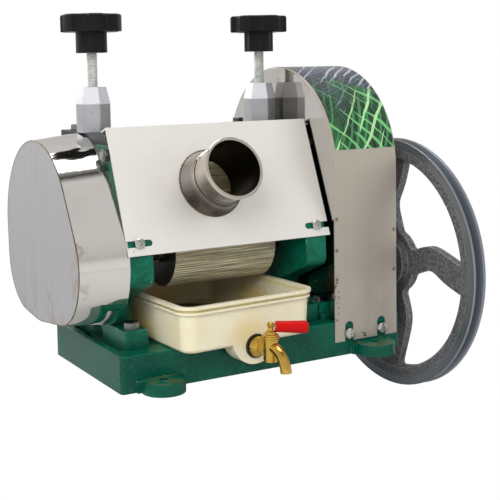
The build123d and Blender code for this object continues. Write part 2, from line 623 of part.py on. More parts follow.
# ---------------------------------------------------------------- pressure screws
PAD_TOP = TOP_Z + BLOCK_H / 2 + 5
for side, cx in cheek_x.items():
    screw_plane = Plane(origin=(cx, TOP_Y, 0), x_dir=(1, 0, 0), z_dir=(0, -1, 0))
    z_thread0 = TOWER_TOP + 1.0
    rings = int((KNOB_Z0 - z_thread0) / SCREW_PITCH)
    with BuildPart() as screw:
        with BuildSketch(screw_plane):
            pts = [(0, PAD_TOP), (SCREW_R - 0.9, PAD_TOP), (SCREW_R - 0.9, CHEEK_TOP + 8), (SCREW_R, CHEEK_TOP + 9),
                   (SCREW_R, z_thread0 - 0.5), (SCREW_R - 0.9, z_thread0)]
            for i in range(rings):
                z = z_thread0 + i * SCREW_PITCH
                pts += [(SCREW_R, z + SCREW_PITCH / 2), (SCREW_R - 0.9, z + SCREW_PITCH)]
            pts += [(SCREW_R - 0.4, KNOB_Z0), (SCREW_R - 0.4, KNOB_Z1 + 8), (0, KNOB_Z1 + 8)]
            with BuildLine():
                Polyline(*pts, close=True)
            make_face()
        revolve(axis=Axis((cx, TOP_Y, 0), (0, 0, 1)))
    save(screw.part, "pressure_screw_%s" % side)
    with BuildPart() as knob:
        with BuildSketch(Plane.XY.offset(KNOB_Z1)):
            with Locations((cx, TOP_Y)):
                Circle(KNOB_R)
                with PolarLocations(KNOB_R + 9.0, 6, start_angle=KNOB_TURN[side]):
                    Circle(14.5, mode=Mode.SUBTRACT)
        extrude(amount=KNOB_Z2 - KNOB_Z1)
        fillet(knob.edges().group_by(Axis.Z)[-1], 3.0)
        fillet(knob.edges().group_by(Axis.Z)[0], 1.5)
        with BuildSketch(Plane.XY.offset(KNOB_Z0)):
            with Locations((cx, TOP_Y)):
                Circle(KNOB_HUB_R)
                with PolarLocations(KNOB_HUB_R + 11.0, 6, start_angle=KNOB_TURN[side]):
                    Circle(12.5, mode=Mode.SUBTRACT)
        extrude(amount=KNOB_Z1 - KNOB_Z0)
        with Locations((cx, TOP_Y, KNOB_Z0)):
            Cylinder(SCREW_R - 0.4, KNOB_Z1 + 8 - KNOB_Z0, align=(Align.CENTER, Align.CENTER, Align.MIN),
                     mode=Mode.SUBTRACT)
    save(knob.part, "star_knob_%s" % side)

# ---------------------------------------------------------------- shield and feed tube
with BuildPart() as shield:
    with BuildSketch(shield_plane):
        with Locations((0, SHIELD_LEN / 2)):
            Rectangle(SHIELD_X1 - SHIELD_X0, SHIELD_LEN)
        with Locations((TUBE_X - SHIELD_MID, TUBE_S)):
            Circle(TUBE_R, mode=Mode.SUBTRACT)
        for x, d in ((SHIELD_SCREW[0], -1), (SHIELD_SCREW[1], 1)):
            run = abs((SHIELD_X0 if d < 0 else SHIELD_X1) - x) + 12
            with Locations((x - SHIELD_MID - 12 * d + d * run / 2, SHIELD_SCREW[2])):
                Rectangle(run, 7.4, mode=Mode.SUBTRACT)
            with Locations((x - SHIELD_MID - 12 * d, SHIELD_SCREW[2])):
                Circle(3.7, mode=Mode.SUBTRACT)
    extrude(amount=-SHIELD_T)
    top_in = (shield_y(SHIELD_Z) + SHIELD_LEN * math.sin(tilt), SHIELD_Z + SHIELD_LEN * math.cos(tilt))
    with BuildSketch(yz(SHIELD_X0)):
        with BuildLine():
            Polyline(top_in, (top_in[0] + 13, top_in[1] - 5.1), (top_in[0] + 13, top_in[1] - 6.6),
                     (top_in[0] + 1.0, top_in[1] - 2.4), close=True)
        make_face()
    extrude(amount=SHIELD_X1 - SHIELD_X0)
save(shield.part, "front_shield")

tube_c = shield_plane.from_local_coords((TUBE_X - SHIELD_MID, TUBE_S, 0))
tube_dir = Vector(*shield_out)
tube_plane = Plane(origin=tube_c, x_dir=(1, 0, 0), z_dir=(0, -math.sin(tilt), -math.cos(tilt)))
tube_axis = Axis(tube_c, tube_dir)
with BuildPart() as collar2:
    with BuildSketch(tube_plane):
        with BuildLine():
            Line((TUBE_R, 0), (COLLAR_R, 0))
            Line((COLLAR_R, 0), (COLLAR_R, 1.2))
            ThreePointArc((COLLAR_R, 1.2), (TUBE_R + 2.6, 9), (TUBE_R + 1.2, COLLAR_H - 1))
            Line((TUBE_R + 1.2, COLLAR_H - 1), (TUBE_R, COLLAR_H))
            Line((TUBE_R, COLLAR_H), (TUBE_R, 0))
        make_face()
    revolve(axis=tube_axis)
save(collar2.part, "feed_collar")
with BuildPart() as tube:
    with BuildSketch(tube_plane):
        r_in = TUBE_R - TUBE_WALL
        with BuildLine():
            Polyline((r_in, -12), (TUBE_R, -12), (TUBE_R, COLLAR_H + 4), (TUBE_R + 0.9, COLLAR_H + 5),
                     (TUBE_R + 0.9, COLLAR_H + 6.5), (TUBE_R, COLLAR_H + 7.5), (TUBE_R, TUBE_OUT - 6.5),
                     (TUBE_LIP_R, TUBE_OUT - 3.6), (TUBE_LIP_R, TUBE_OUT - 0.8), (TUBE_LIP_R - 0.8, TUBE_OUT),
                     (r_in + 0.8, TUBE_OUT), (r_in, TUBE_OUT - 1.2), close=True)
        make_face()
    revolve(axis=tube_axis)
save(tube.part, "feed_tube")


def pan_screw(plane, x, y, r, h, shank_r, shank_l):
    """Cross recessed pan head on a plane, its shank going back through it."""
    with BuildPart() as p:
        with BuildSketch(plane):
            with Locations((x, y)):
                Circle(r)
        extrude(amount=h)
        top = p.faces().sort_by(lambda f: f.center().dot(plane.z_dir))[-1]
        fillet(top.edges(), h * 0.72)
        with BuildSketch(plane.offset(h - 1.6)):
            with Locations((x, y)):
                Rectangle(r * 1.05, 1.5)
                Rectangle(1.5, r * 1.05)
        extrude(amount=3, mode=Mode.SUBTRACT)
        with BuildSketch(plane):
            with Locations((x, y)):
                Circle(shank_r)
        extrude(amount=-shank_l)
    return p.part


panel_screws = [pan_screw(shield_plane, x - SHIELD_MID, SHIELD_SCREW[2], 6.3, 4.0, SHIELD_SCREW_R, 18)
                for x in SHIELD_SCREW[:2]]

# ---------------------------------------------------------------- drive cover
front_plane = Plane(origin=(0, COVER_Y0, 0), x_dir=(1, 0, 0), z_dir=(0, -1, 0))
COVER_W = COVER_X1 - COVER_X0
REAR_Z0 = 30.0


def arch(inset, z0):
    """Arched outline of the cover, drawn into the current sketch."""
    r = COVER_R - inset
    with Locations((COVER_YC, COVER_ZC)):
        Circle(r)
    with Locations((COVER_YC, (COVER_ZC + z0) / 2)):
        Rectangle(2 * r, COVER_ZC - z0)


def arch_lines(inset, z0):
    r = COVER_R - inset
    yc = COVER_YC
    Line((yc - r, z0), (yc - r, COVER_ZC))
    ThreePointArc((yc - r, COVER_ZC), (yc, COVER_ZC + r), (yc + r, COVER_ZC))
    Line((yc + r, COVER_ZC), (yc + r, z0))
    Line((yc + r, z0), (yc - r, z0))


with BuildPart() as band:
    with BuildSketch(yz(COVER_X0)):
        with BuildLine():
            arch_lines(0, COVER_Z0)
        make_face()
    extrude(amount=COVER_W)
    with BuildSketch(yz(COVER_X0)):
        with BuildLine():
            arch_lines(SHEET, COVER_Z0 - 1)
        make_face()
    extrude(amount=COVER_W, mode=Mode.SUBTRACT)
    with Locations((COVER_X0 + COVER_W / 2, COVER_YC + COVER_R, COVER_Z0)):
        Box(COVER_W + 2, 20, 2 * (REAR_Z0 - COVER_Z0), mode=Mode.SUBTRACT)
    slot_r = 6.2
    slot_top = 41.5
    with BuildSketch(front_plane):
        with Locations(*[(x, (slot_top - slot_r + COVER_Z0 - 2) / 2) for x in COVER_SCREWS[:2]]):
            Rectangle(2 * slot_r, slot_top - slot_r - COVER_Z0 + 2)
        with Locations(*[(x, slot_top - slot_r) for x in COVER_SCREWS[:2]]):
            Circle(slot_r)
    extrude(amount=-3, mode=Mode.SUBTRACT)
save(band.part, "drive_cover_band")

with BuildPart() as inner_side:
    with BuildSketch(yz(COVER_X0)):
        with BuildLine():
            arch_lines(SHEET, SIDE_Z0)
        make_face()
        with Locations((TOP_Y, (SIDE_Z0 + TOP_Z) / 2)):
            Rectangle(48, TOP_Z - SIDE_Z0, mode=Mode.SUBTRACT)
        with Locations((TOP_Y, TOP_Z)):
            Circle(24, mode=Mode.SUBTRACT)
        with Locations((WHEEL_Y, SIDE_Z0 + 11)):
            Rectangle(66, 27, mode=Mode.SUBTRACT)
    extrude(amount=SHEET)
save(inner_side.part, "drive_cover_inner_side")
with BuildPart() as outer_side:
    with BuildSketch(yz(COVER_X1 - SHEET)):
        with BuildLine():
            arch_lines(SHEET, SIDE_Z0)
        make_face()
        with Locations((WHEEL_Y, (SIDE_Z0 + WHEEL_Z) / 2)):
            Rectangle(36, WHEEL_Z - SIDE_Z0, mode=Mode.SUBTRACT)
        with Locations((WHEEL_Y, WHEEL_Z)):
            Circle(18, mode=Mode.SUBTRACT)
    extrude(amount=SHEET)
save(outer_side.part, "drive_cover_outer_side")

LABEL_T = 0.3
LABEL_Z = 252.0
with BuildPart() as label:
    with BuildSketch(yz(COVER_X0 + 3.5)):
        with Locations((COVER_YC, COVER_ZC)):
            Circle(COVER_R + LABEL_T)
            Circle(COVER_R, mode=Mode.SUBTRACT)
        with Locations((COVER_YC, LABEL_Z - 2 * COVER_R)):
            Rectangle(4 * COVER_R, 4 * COVER_R, mode=Mode.SUBTRACT)
    extrude(amount=COVER_W - 4.5)
save(label.part, "cover_label")

panel_screws += [pan_screw(front_plane, x, COVER_SCREWS[2], 7.2, 5.0, COVER_SCREW_R, 10)
                 for x in COVER_SCREWS[:2]]
save(Compound(children=panel_screws), "panel_screws")

# spacers and screws that hold the drive cover to the cheek
SPACER_AT = [(-28.0, 232.0), (98.0, 205.0)]
spacers = []
for y, z in SPACER_AT:
    with BuildPart() as sp:
        with BuildSketch(yz(RIGHT_OUT)):
            with Locations((y, z)):
                RegularPolygon(6.5, 6, major_radius=False)
        extrude(amount=COVER_X0 - RIGHT_OUT)
    spacers.append(sp.part)
save(Compound(children=spacers), "cover_spacers")

# ---------------------------------------------------------------- roller gear cover
LX0 = LEFT_OUT - LCOVER_DEPTH
with BuildPart() as lcover:
    with BuildSketch(yz(LX0)):
        for y, z, r in (LCOVER_TOP, LCOVER_FRONT, LCOVER_REAR):
            with Locations((y, z)):
                Circle(r)
        make_hull()
    with BuildSketch(yz(LEFT_OUT)):
        for y, z, r in (LCOVER_TOP, LCOVER_FRONT, LCOVER_REAR):
            with Locations((y + 1.7, z)):
                Circle(r + LCOVER_FLARE)
        make_hull()
    loft(ruled=True)
    with BuildSketch(yz(LX0 + SHEET)):
        for y, z, r in (LCOVER_TOP, LCOVER_FRONT, LCOVER_REAR):
            with Locations((y, z)):
                Circle(r - SHEET)
        make_hull()
    with BuildSketch(yz(LEFT_OUT)):
        for y, z, r in (LCOVER_TOP, LCOVER_FRONT, LCOVER_REAR):
            with Locations((y + 1.7, z)):
                Circle(r + LCOVER_FLARE - SHEET)
        make_hull()
    loft(ruled=True, mode=Mode.SUBTRACT)
save(lcover.part, "roller_gear_cover")

# ---------------------------------------------------------------- rods, bolts, plates
rods = []
nuts = []
for y, z in TIE_RODS:
    with BuildPart() as rod:
        with BuildSketch(yz(LEFT_OUT - 8)):
            with Locations((y, z)):
                Circle(TIE_R - 0.01)
        extrude(amount=RIGHT_OUT - LEFT_OUT + 16)
        with BuildSketch(yz(LEFT_OUT + CHEEK_T)):
            with Locations((y, z)):
                Circle(TIE_R + 3)
        extrude(amount=CHEEK_PITCH - CHEEK_T)
    rods.append(rod.part)
    nuts.append(hex_nut(LEFT_OUT - 7, 7, y, z, 13, TIE_R))
    nuts.append(hex_nut(RIGHT_OUT, 7, y, z, 13, TIE_R))
save(Compound(children=rods), "tie_rods")
save(Compound(children=nuts), "tie_rod_nuts")


def foot_bolt(x, y, z, af, head, shank_r, length, washer_r):
    with BuildPart() as p:
        with Locations((x, y, z)):
            Cylinder(washer_r, 1.6, align=(Align.CENTER, Align.CENTER, Align.MIN))
        with BuildSketch(Plane.XY.offset(z + 1.6)):
            with Locations((x, y)):
                RegularPolygon(af / 2, 6, major_radius=False, rotation=8)
        extrude(amount=head)
        chamfer(p.faces().sort_by(Axis.Z)[-1].edges(), 1.0)
        with Locations((x, y, z)):
            Cylinder(shank_r, length, align=(Align.CENTER, Align.CENTER, Align.MAX))
    return p.part


save(Compound(children=[foot_bolt(cx, sy * BOLT_Y, BASE_H + FOOT_H, 17, 6.5, BOLT_R, FOOT_H + 14, 9.5)
                        for cx in cheek_x.values() for sy in (-1, 1)]), "cheek_bolts")
hb = HOUSING_BOLTS
save(Compound(children=[foot_bolt(hb[0][0], hb[0][1], BASE_H + FOOT_H, 11, 5, BOLT_R - 1, FOOT_H + 12, 6.2)]
              + [foot_bolt(x, y, BASE_H + HOUSING_FOOT, 13, 5, BOLT_R - 1, 18, 7.5) for x, y in hb[1:]]),
     "housing_bolts")
save(Compound(children=[foot_bolt(cx, y, CHEEK_TOP, 13, 5.3, 3.9, CAP_T, 7.4)
                        for cx in cheek_x.values() for y in CAP_BOLTS]), "cap_bolts")

IN_X0, IN_X1 = LEFT_OUT + CHEEK_T, RIGHT_OUT - CHEEK_T
GUIDE_R0, GUIDE_R1, GUIDE_HALF = ROLLER_R + 8.0, ROLLER_R + 12.0, math.radians(11)
with BuildPart() as guide:
    with BuildSketch(yz(IN_X0)):
        def gp(r, a):
            return (TOP_Y + r * math.sin(a), TOP_Z - r * math.cos(a))
        with BuildLine():
            ThreePointArc(gp(GUIDE_R0, -GUIDE_HALF), gp(GUIDE_R0, 0), gp(GUIDE_R0, GUIDE_HALF))
            Line(gp(GUIDE_R0, GUIDE_HALF), gp(GUIDE_R1, GUIDE_HALF))
            ThreePointArc(gp(GUIDE_R1, GUIDE_HALF), gp(GUIDE_R1, 0), gp(GUIDE_R1, -GUIDE_HALF))
            Line(gp(GUIDE_R1, -GUIDE_HALF), gp(GUIDE_R0, -GUIDE_HALF))
        make_face()
        with Locations((TOP_Y - 0.25, TOP_Z - GUIDE_R1 - 18)):
            Rectangle(7, 38)
    extrude(amount=IN_X1 - IN_X0)
save(guide.part, "cane_guide_bar")

with BuildPart() as chute:
    with BuildSketch(yz(IN_X0)):
        with BuildLine():
            Polyline((107, 189), (160, 154), (160, 152.2), (106, 187.8), close=True)
        make_face()
    extrude(amount=IN_X1 - IN_X0)
save(chute.part, "rear_discharge_plate")

# ---------------------------------------------------------------- tray and tap
tray_loc = Location((TRAY_O[0], TRAY_O[1], 0), (0, 0, TRAY_TURN))
CORNER = 15.0
RIMS = ((TRAY_Z1 - 3.4, 3.4, TRAY_DRAFT + TRAY_RIM), (TRAY_Z1 - 9.4, 3.0, TRAY_DRAFT + TRAY_RIM - 1.4))
BOSS_R, BOSS_Z, BOSS_L = 30.0, 48.6, 23.0
with BuildPart() as tray:
    with BuildSketch(Plane.XY.offset(BASE_H)):
        with Locations((TRAY_W / 2, TRAY_D / 2)):
            RectangleRounded(TRAY_W, TRAY_D, CORNER)
    with BuildSketch(Plane.XY.offset(TRAY_Z1)):
        with Locations((TRAY_W / 2, TRAY_D / 2)):
            RectangleRounded(TRAY_W + 2 * TRAY_DRAFT, TRAY_D + 2 * TRAY_DRAFT, CORNER + 1)
    loft()
    fillet(tray.edges().group_by(Axis.Z)[0], 5)
    for z, t, o in RIMS:
        with BuildSketch(Plane.XY.offset(z)):
            with Locations((TRAY_W / 2, TRAY_D / 2)):
                RectangleRounded(TRAY_W + 2 * o, TRAY_D + 2 * o, CORNER + o)
        extrude(amount=t)
    # sump boss that carries the tap below the floor
    with BuildSketch(Plane.XZ.offset(0.6)):
        with Locations((TAP_U, BOSS_Z)):
            Circle(BOSS_R)
        with Locations((TAP_U, BOSS_Z + 20)):
            Rectangle(2 * BOSS_R + 4, 40 - 2, mode=Mode.SUBTRACT)
        with Locations((TAP_U, BOSS_Z + 6)):
            Rectangle(2 * BOSS_R - 4, 14)
    extrude(amount=-BOSS_L)
    with BuildSketch(Plane.XY.offset(BASE_H + TRAY_WALL)):
        with Locations((TRAY_W / 2, TRAY_D / 2)):
            RectangleRounded(TRAY_W - 2 * TRAY_WALL, TRAY_D - 2 * TRAY_WALL, CORNER - TRAY_WALL)
    with BuildSketch(Plane.XY.offset(TRAY_Z1)):
        with Locations((TRAY_W / 2, TRAY_D / 2)):
            o = TRAY_DRAFT - TRAY_WALL
            RectangleRounded(TRAY_W + 2 * o, TRAY_D + 2 * o, CORNER + 1 - TRAY_WALL)
    loft(mode=Mode.SUBTRACT)
    with BuildSketch(Plane.XZ.offset(-TRAY_WALL)):
        with Locations((TAP_U, BOSS_Z)):
            Circle(BOSS_R - TRAY_WALL)
        with Locations((TAP_U, BOSS_Z + 20)):
            Rectangle(2 * BOSS_R + 4, 40 - 4, mode=Mode.SUBTRACT)
        with Locations((TAP_U, BOSS_Z + 1)):
            Rectangle(2 * BOSS_R - 14, 8)
    extrude(amount=-(BOSS_L - 0.6 - 2 * TRAY_WALL), mode=Mode.SUBTRACT)
    with BuildSketch(Plane.XZ.offset(20)):
        with Locations((TAP_U, TAP_Z)):
            Circle(8.0)
    extrude(amount=-20 - TRAY_WALL - 1, mode=Mode.SUBTRACT)
save(tray.part.moved(tray_loc), "juice_tray")

FRONT_V = -0.6                                # front face of the sump boss
WASHER_T, FLANGE_T = 3.0, 8.0
BODY_V, BODY_R = -30.0, 8.7


def lathe(points, v0):
    """Turned piece about the tap's horizontal axis; points are (radius, out)."""
    with BuildPart() as p:
        with BuildSketch(Plane(origin=(TAP_U, v0, TAP_Z), x_dir=(1, 0, 0), z_dir=(0, 0, -1))):
            with BuildLine():
                Polyline(*points, close=True)
            make_face()
        revolve(axis=Axis((TAP_U, v0, TAP_Z), (0, -1, 0)))
    return p.part


with BuildPart() as gasket:
    add(lathe([(8, 0), (13.6, 0), (13.9, 1), (13.4, WASHER_T), (8, WASHER_T)], FRONT_V))
save(gasket.part.moved(tray_loc), "tap_gasket")

with BuildPart() as tap:
    v1 = FRONT_V - WASHER_T
    add(lathe([(0, -12), (7.9, -12), (7.9, 0), (11.6, 0), (11.8, 1.8), (11, 3.6), (9, 5.6), (6.6, 7.4),
               (6.3, 9), (6.3, 24), (0, 24)], v1))
    with Locations((TAP_U, BODY_V, TAP_Z - 11)):
        Cylinder(BODY_R - 0.7, 3, align=(Align.CENTER, Align.CENTER, Align.MIN))
    with Locations((TAP_U, BODY_V, TAP_Z - 9)):
        Cylinder(BODY_R, 22, align=(Align.CENTER, Align.CENTER, Align.MIN))
    for dz, r, h in ((13, 9.9, 1.8), (14.8, 8.8, 0.9), (15.7, 9.9, 1.8)):
        with Locations((TAP_U, BODY_V, TAP_Z + dz)):
            Cylinder(r, h, align=(Align.CENTER, Align.CENTER, Align.MIN))
    # spout: out from the body and down
    with BuildLine() as spout_path:
        ThreePointArc((TAP_U, BODY_V - 4, TAP_Z + 5), (TAP_U, BODY_V - 21, TAP_Z - 2), (TAP_U, BODY_V - 28.5, TAP_Z - 18))
    with BuildSketch(Plane(origin=spout_path.line @ 0, z_dir=spout_path.line % 0)):
        Circle(6.2)
    sweep(path=spout_path.line)
    with BuildSketch(Plane(origin=spout_path.line @ 1, z_dir=spout_path.line % 1)):
        Circle(4.4)
    extrude(amount=-9, mode=Mode.SUBTRACT)
    # bore for the plug and the way in from the sump
    with Locations((TAP_U, BODY_V, TAP_Z - 5)):
        Cylinder(5.5, 40, align=(Align.CENTER, Align.CENTER, Align.MIN), mode=Mode.SUBTRACT)
    with BuildSketch(Plane.XZ.offset(-20)):
        with Locations((TAP_U, TAP_Z)):
            Circle(4.0)
    extrude(amount=20 - BODY_V - 4, mode=Mode.SUBTRACT)
save(tap.part.moved(tray_loc), "tap_body")

with BuildPart() as tnut:
    with BuildSketch(Plane.XZ.offset(-TRAY_WALL)):
        with Locations((TAP_U, TAP_Z)):
            RegularPolygon(10.5, 6, major_radius=False)
            Circle(7.9, mode=Mode.SUBTRACT)
    extrude(amount=-5)
save(tnut.part.moved(tray_loc), "tap_back_nut")

LEVER_Z = TAP_Z + 28.0
LEVER_TURN, LEVER_DROOP = -20.0, 5.0
with BuildPart() as plug:
    with BuildSketch(Plane(origin=(TAP_U, BODY_V, 0), x_dir=(1, 0, 0), z_dir=(0, -1, 0))):
        zt = TAP_Z + 17.5
        with BuildLine():
            Polyline((0, TAP_Z - 4.9), (5.45, TAP_Z - 4.9), (5.45, zt + 0.1), (8.6, zt + 0.1), (8.6, zt + 1.9),
                     (6.4, zt + 2.4), (5.8, zt + 5), (3.3, zt + 6), (3.0, zt + 9.4), (3.4, zt + 10), (4.3, zt + 12.3),
                     (3.4, zt + 14.6), (1.6, zt + 15.6), (0, zt + 15.8), close=True)
        make_face()
    revolve(axis=Axis((TAP_U, BODY_V, 0), (0, 0, 1)))
    # cross way through the plug, closed when the lever lies across the tap
    with BuildSketch(Plane.YZ.offset(TAP_U - 8)):
        with Locations((BODY_V, TAP_Z + 1)):
            Circle(3.2)
    extrude(amount=16, mode=Mode.SUBTRACT)
save(plug.part.moved(tray_loc), "tap_plug")

lever_loc = Location((TAP_U, BODY_V, LEVER_Z), (0, 0, LEVER_TURN)) * Location((0, 0, 0), (0, LEVER_DROOP, 0))
with BuildPart() as lever:
    with Locations((3.1, 0, 0)):
        Box(36, 6.5, 2.2, align=(Align.MIN, Align.CENTER, Align.CENTER))
    with Locations((0, 0, 0)):
        Cylinder(6.0, 20, mode=Mode.SUBTRACT)
with BuildPart() as sleeve:
    with BuildSketch(Plane.YZ.offset(6.2)):
        RectangleRounded(12.4, 12.0, 5.6)
    with BuildSketch(Plane.YZ.offset(43.0)):
        RectangleRounded(14.4, 14.4, 6.6)
    loft()
    fillet(sleeve.faces().sort_by(Axis.X)[-1].edges(), 3.5)
    with Locations((3.1, 0, 0)):
        Box(36, 6.5, 2.2, align=(Align.MIN, Align.CENTER, Align.CENTER), mode=Mode.SUBTRACT)
save(lever.part.moved(tray_loc * lever_loc), "tap_lever")
save(sleeve.part.moved(tray_loc * lever_loc), "lever_sleeve")
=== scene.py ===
# %% [markdown]
# # Manual sugarcane juicer
#
# The frame holds every rigid piece of the machine in metres, with +X along the rollers,
# -Y the feeding side and +Z up. This scene dresses those pieces: each gets a procedural
# surface, and a few thin details are added where a solid model would be wasteful,
# such as the weld beads.

# %% Load the frame
import json
import math

import bpy
import numpy as np
from mathutils import Matrix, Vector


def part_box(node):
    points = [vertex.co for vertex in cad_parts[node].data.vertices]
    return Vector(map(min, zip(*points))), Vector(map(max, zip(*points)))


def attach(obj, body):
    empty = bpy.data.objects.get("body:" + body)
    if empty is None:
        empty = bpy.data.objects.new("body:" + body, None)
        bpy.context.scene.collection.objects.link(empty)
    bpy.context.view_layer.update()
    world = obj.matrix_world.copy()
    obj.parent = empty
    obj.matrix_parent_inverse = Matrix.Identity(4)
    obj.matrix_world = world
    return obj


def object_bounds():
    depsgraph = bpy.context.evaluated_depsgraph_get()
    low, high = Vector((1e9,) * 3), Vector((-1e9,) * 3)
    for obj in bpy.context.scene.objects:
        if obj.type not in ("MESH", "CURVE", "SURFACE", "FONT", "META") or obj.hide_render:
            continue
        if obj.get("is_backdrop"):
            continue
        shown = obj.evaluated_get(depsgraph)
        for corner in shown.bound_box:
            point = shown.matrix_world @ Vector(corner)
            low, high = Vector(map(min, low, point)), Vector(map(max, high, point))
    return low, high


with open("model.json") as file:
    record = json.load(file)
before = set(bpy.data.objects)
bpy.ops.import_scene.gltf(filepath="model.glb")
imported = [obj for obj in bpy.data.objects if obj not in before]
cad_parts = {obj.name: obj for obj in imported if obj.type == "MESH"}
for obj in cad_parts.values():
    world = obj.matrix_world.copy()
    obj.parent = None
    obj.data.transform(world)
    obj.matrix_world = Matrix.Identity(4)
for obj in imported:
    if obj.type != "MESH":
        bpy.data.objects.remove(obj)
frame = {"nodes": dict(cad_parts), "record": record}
nodes = frame["nodes"]
cad_low, cad_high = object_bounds()
print("nodes:", len(nodes))

# %% [markdown]
# ## Shader helpers
#
# A shader is a tree of small nodes. Writing each node with four lines of set-up hides the idea,
# so `put` makes one node, sets its options and fills its inputs in one call. An input takes either
# a plain value or another node's output, which is then linked. `fill` does the same for a node that
# is already there, with the inputs' names as keywords.

# %% Make and fill one shader node
def set_input(tree, socket, value):
    """Links value to the socket if it is another node's output, and else sets it as a constant."""
    if isinstance(value, bpy.types.NodeSocket):
        tree.links.new(value, socket)
    else:
        socket.default_value = value


def put(tree, kind, ins=None, **options):
    """One shader node; ins maps an input's name or number to a value or a socket."""
    node = tree.nodes.new("ShaderNode" + kind)
    for key, value in options.items():
        setattr(node, key, value)
    for key, value in (ins or {}).items():
        set_input(tree, node.inputs[key], value)
    return node


def fill(tree, node, **ins):
    """Fills a node's inputs; underscores stand for the spaces in their names."""
    for key, value in ins.items():
        set_input(tree, node.inputs[key.replace("_", " ")], value)


print("node helpers ready")

# %% [markdown]
# Most steps of a surface are small sums: a mask times an amount, one value mapped to another, two
# colours mixed. Each of these gets a short name here, so that a material reads like a recipe.
# Colours are written as they look on screen, because that is how a maker compares them.

# %% Small sums on values and colours
def ramp(tree, fac, low, high, out_low=0.0, out_high=1.0):
    """A value mapped smoothly from low..high to out_low..out_high, clamped at both ends."""
    n = put(tree, "MapRange", {"Value": fac, "From Min": low, "From Max": high, "To Min": out_low,
                               "To Max": out_high}, interpolation_type="SMOOTHSTEP")
    return n.outputs["Result"]


def calc(tree, op, a, b=0.0):
    """One arithmetic step."""
    return put(tree, "Math", {0: a, 1: b}, operation=op).outputs[0]


def times(tree, first, *others):
    """The product of two or more values."""
    for value in others:
        first = calc(tree, "MULTIPLY", first, value)
    return first


def plus(tree, a, b):
    """The sum of two values."""
    return calc(tree, "ADD", a, b)


def mix(tree, fac, a, b, blend="MIX"):
    """Two colours mixed by fac."""
    n = put(tree, "Mix", {"Factor": fac, 6: a, 7: b}, data_type="RGBA", blend_type=blend)
    return n.outputs[2]


def rgb(r, g, b):
    """A colour given as it looks on screen, 0 to 255, as the linear value that shaders use."""
    shares = (c / 255 for c in (r, g, b))
    return (*(c / 12.92 if c <= 0.04045 else ((c + 0.055) / 1.055) ** 2.4 for c in shares), 1.0)


print("mid grey on screen is", round(rgb(128, 128, 128)[0], 3), "as light")

# %% [markdown]
# A pattern has to know where on the machine it is and which way the surface looks. Object
# coordinates give the first: every piece's object sits at the origin, so they are metres in the
# machine's frame. The surface normal gives the second.

# %% Place, direction and noise
def where(tree):
    """The place on the machine, in metres."""
    return put(tree, "TexCoord").outputs["Object"]


def coord(tree, vector, letter):
    """One coordinate of a vector: X, Y or Z."""
    return put(tree, "SeparateXYZ", {0: vector}).outputs[letter]


def facing(tree, letter):
    """How far the surface looks along X, Y or Z, from -1 to 1."""
    return coord(tree, put(tree, "NewGeometry").outputs["Normal"], letter)


def vmath(tree, op, a, b=(0, 0, 0), out=0):
    """One step of vector arithmetic."""
    return put(tree, "VectorMath", {0: a, 1: b}, operation=op).outputs[out]


def noise(tree, vector, scale=1.0, detail=2.0, roughness=0.5):
    """Cloudy noise, mostly between 0.3 and 0.7."""
    return put(tree, "TexNoise", {"Vector": vector, "Scale": scale, "Detail": detail,
                                  "Roughness": roughness}).outputs[0]


def bump(tree, height, normal, strength, distance):
    """A shading normal tilted by the slope of height; distance is the depth in metres."""
    return put(tree, "Bump", {"Height": height, "Normal": normal, "Strength": strength,
                              "Distance": distance}).outputs[0]


print("place and noise helpers ready")

# %% [markdown]
# ## Surface effects shared by several materials
#
# Each effect is a node group that gives out only values, colours or normals, so any material can
# use it with its own numbers. A group is built once, and changing it changes every material.

# %% Group helpers
def group(name, ins, outs):
    """An empty node group with the named sockets; ins are (name, type, default)."""
    g = bpy.data.node_groups.new(name, "ShaderNodeTree")
    for label, kind, default in ins:
        s = g.interface.new_socket(label, in_out="INPUT", socket_type="NodeSocket" + kind)
        s.default_value = default
    for label, kind in outs:
        g.interface.new_socket(label, in_out="OUTPUT", socket_type="NodeSocket" + kind)
    return g, g.nodes.new("NodeGroupInput").outputs, g.nodes.new("NodeGroupOutput").inputs


def use(tree, g, **ins):
    """A node group placed in a material; gives back its outputs."""
    n = tree.nodes.new("ShaderNodeGroup")
    n.node_tree = g
    fill(tree, n, **ins)
    return n.outputs


print("group helpers ready")

# %% [markdown]
# Real edges are never perfectly sharp. The Bevel node rounds the shading normal near an edge, and
# where that normal differs from the true one there is an edge, which gives a mask for worn paint.
# Noise breaks the mask up, because wear is never an even line.

# %% Soft edges and an edge mask
soft_edge, given, result = group("soft edge", [("Width", "Float", 0.001), ("Breakup", "Float", 400.0)],
                                 [("Normal", "Vector"), ("Edge", "Float")])
bevel = put(soft_edge, "Bevel", {"Radius": given["Width"]}, samples=4).outputs[0]
true_normal = put(soft_edge, "NewGeometry").outputs["True Normal"]
agree = vmath(soft_edge, "DOT_PRODUCT", bevel, true_normal, "Value")
breakup = times(soft_edge, noise(soft_edge, where(soft_edge), given["Breakup"], 3.0), 0.12)
soft_edge.links.new(bevel, result["Normal"])
soft_edge.links.new(ramp(soft_edge, plus(soft_edge, agree, breakup), 1.035, 0.93), result["Edge"])
print(soft_edge.name, "nodes:", len(soft_edge.nodes))

# %% [markdown]
# Nothing on a used machine is one even colour. Dust, stains, tarnish and chips are all patches of
# some size, with a soft or a sharp border. One group makes them: noise, cut between two levels.
# Levels close together give chips, and levels far apart give clouds.

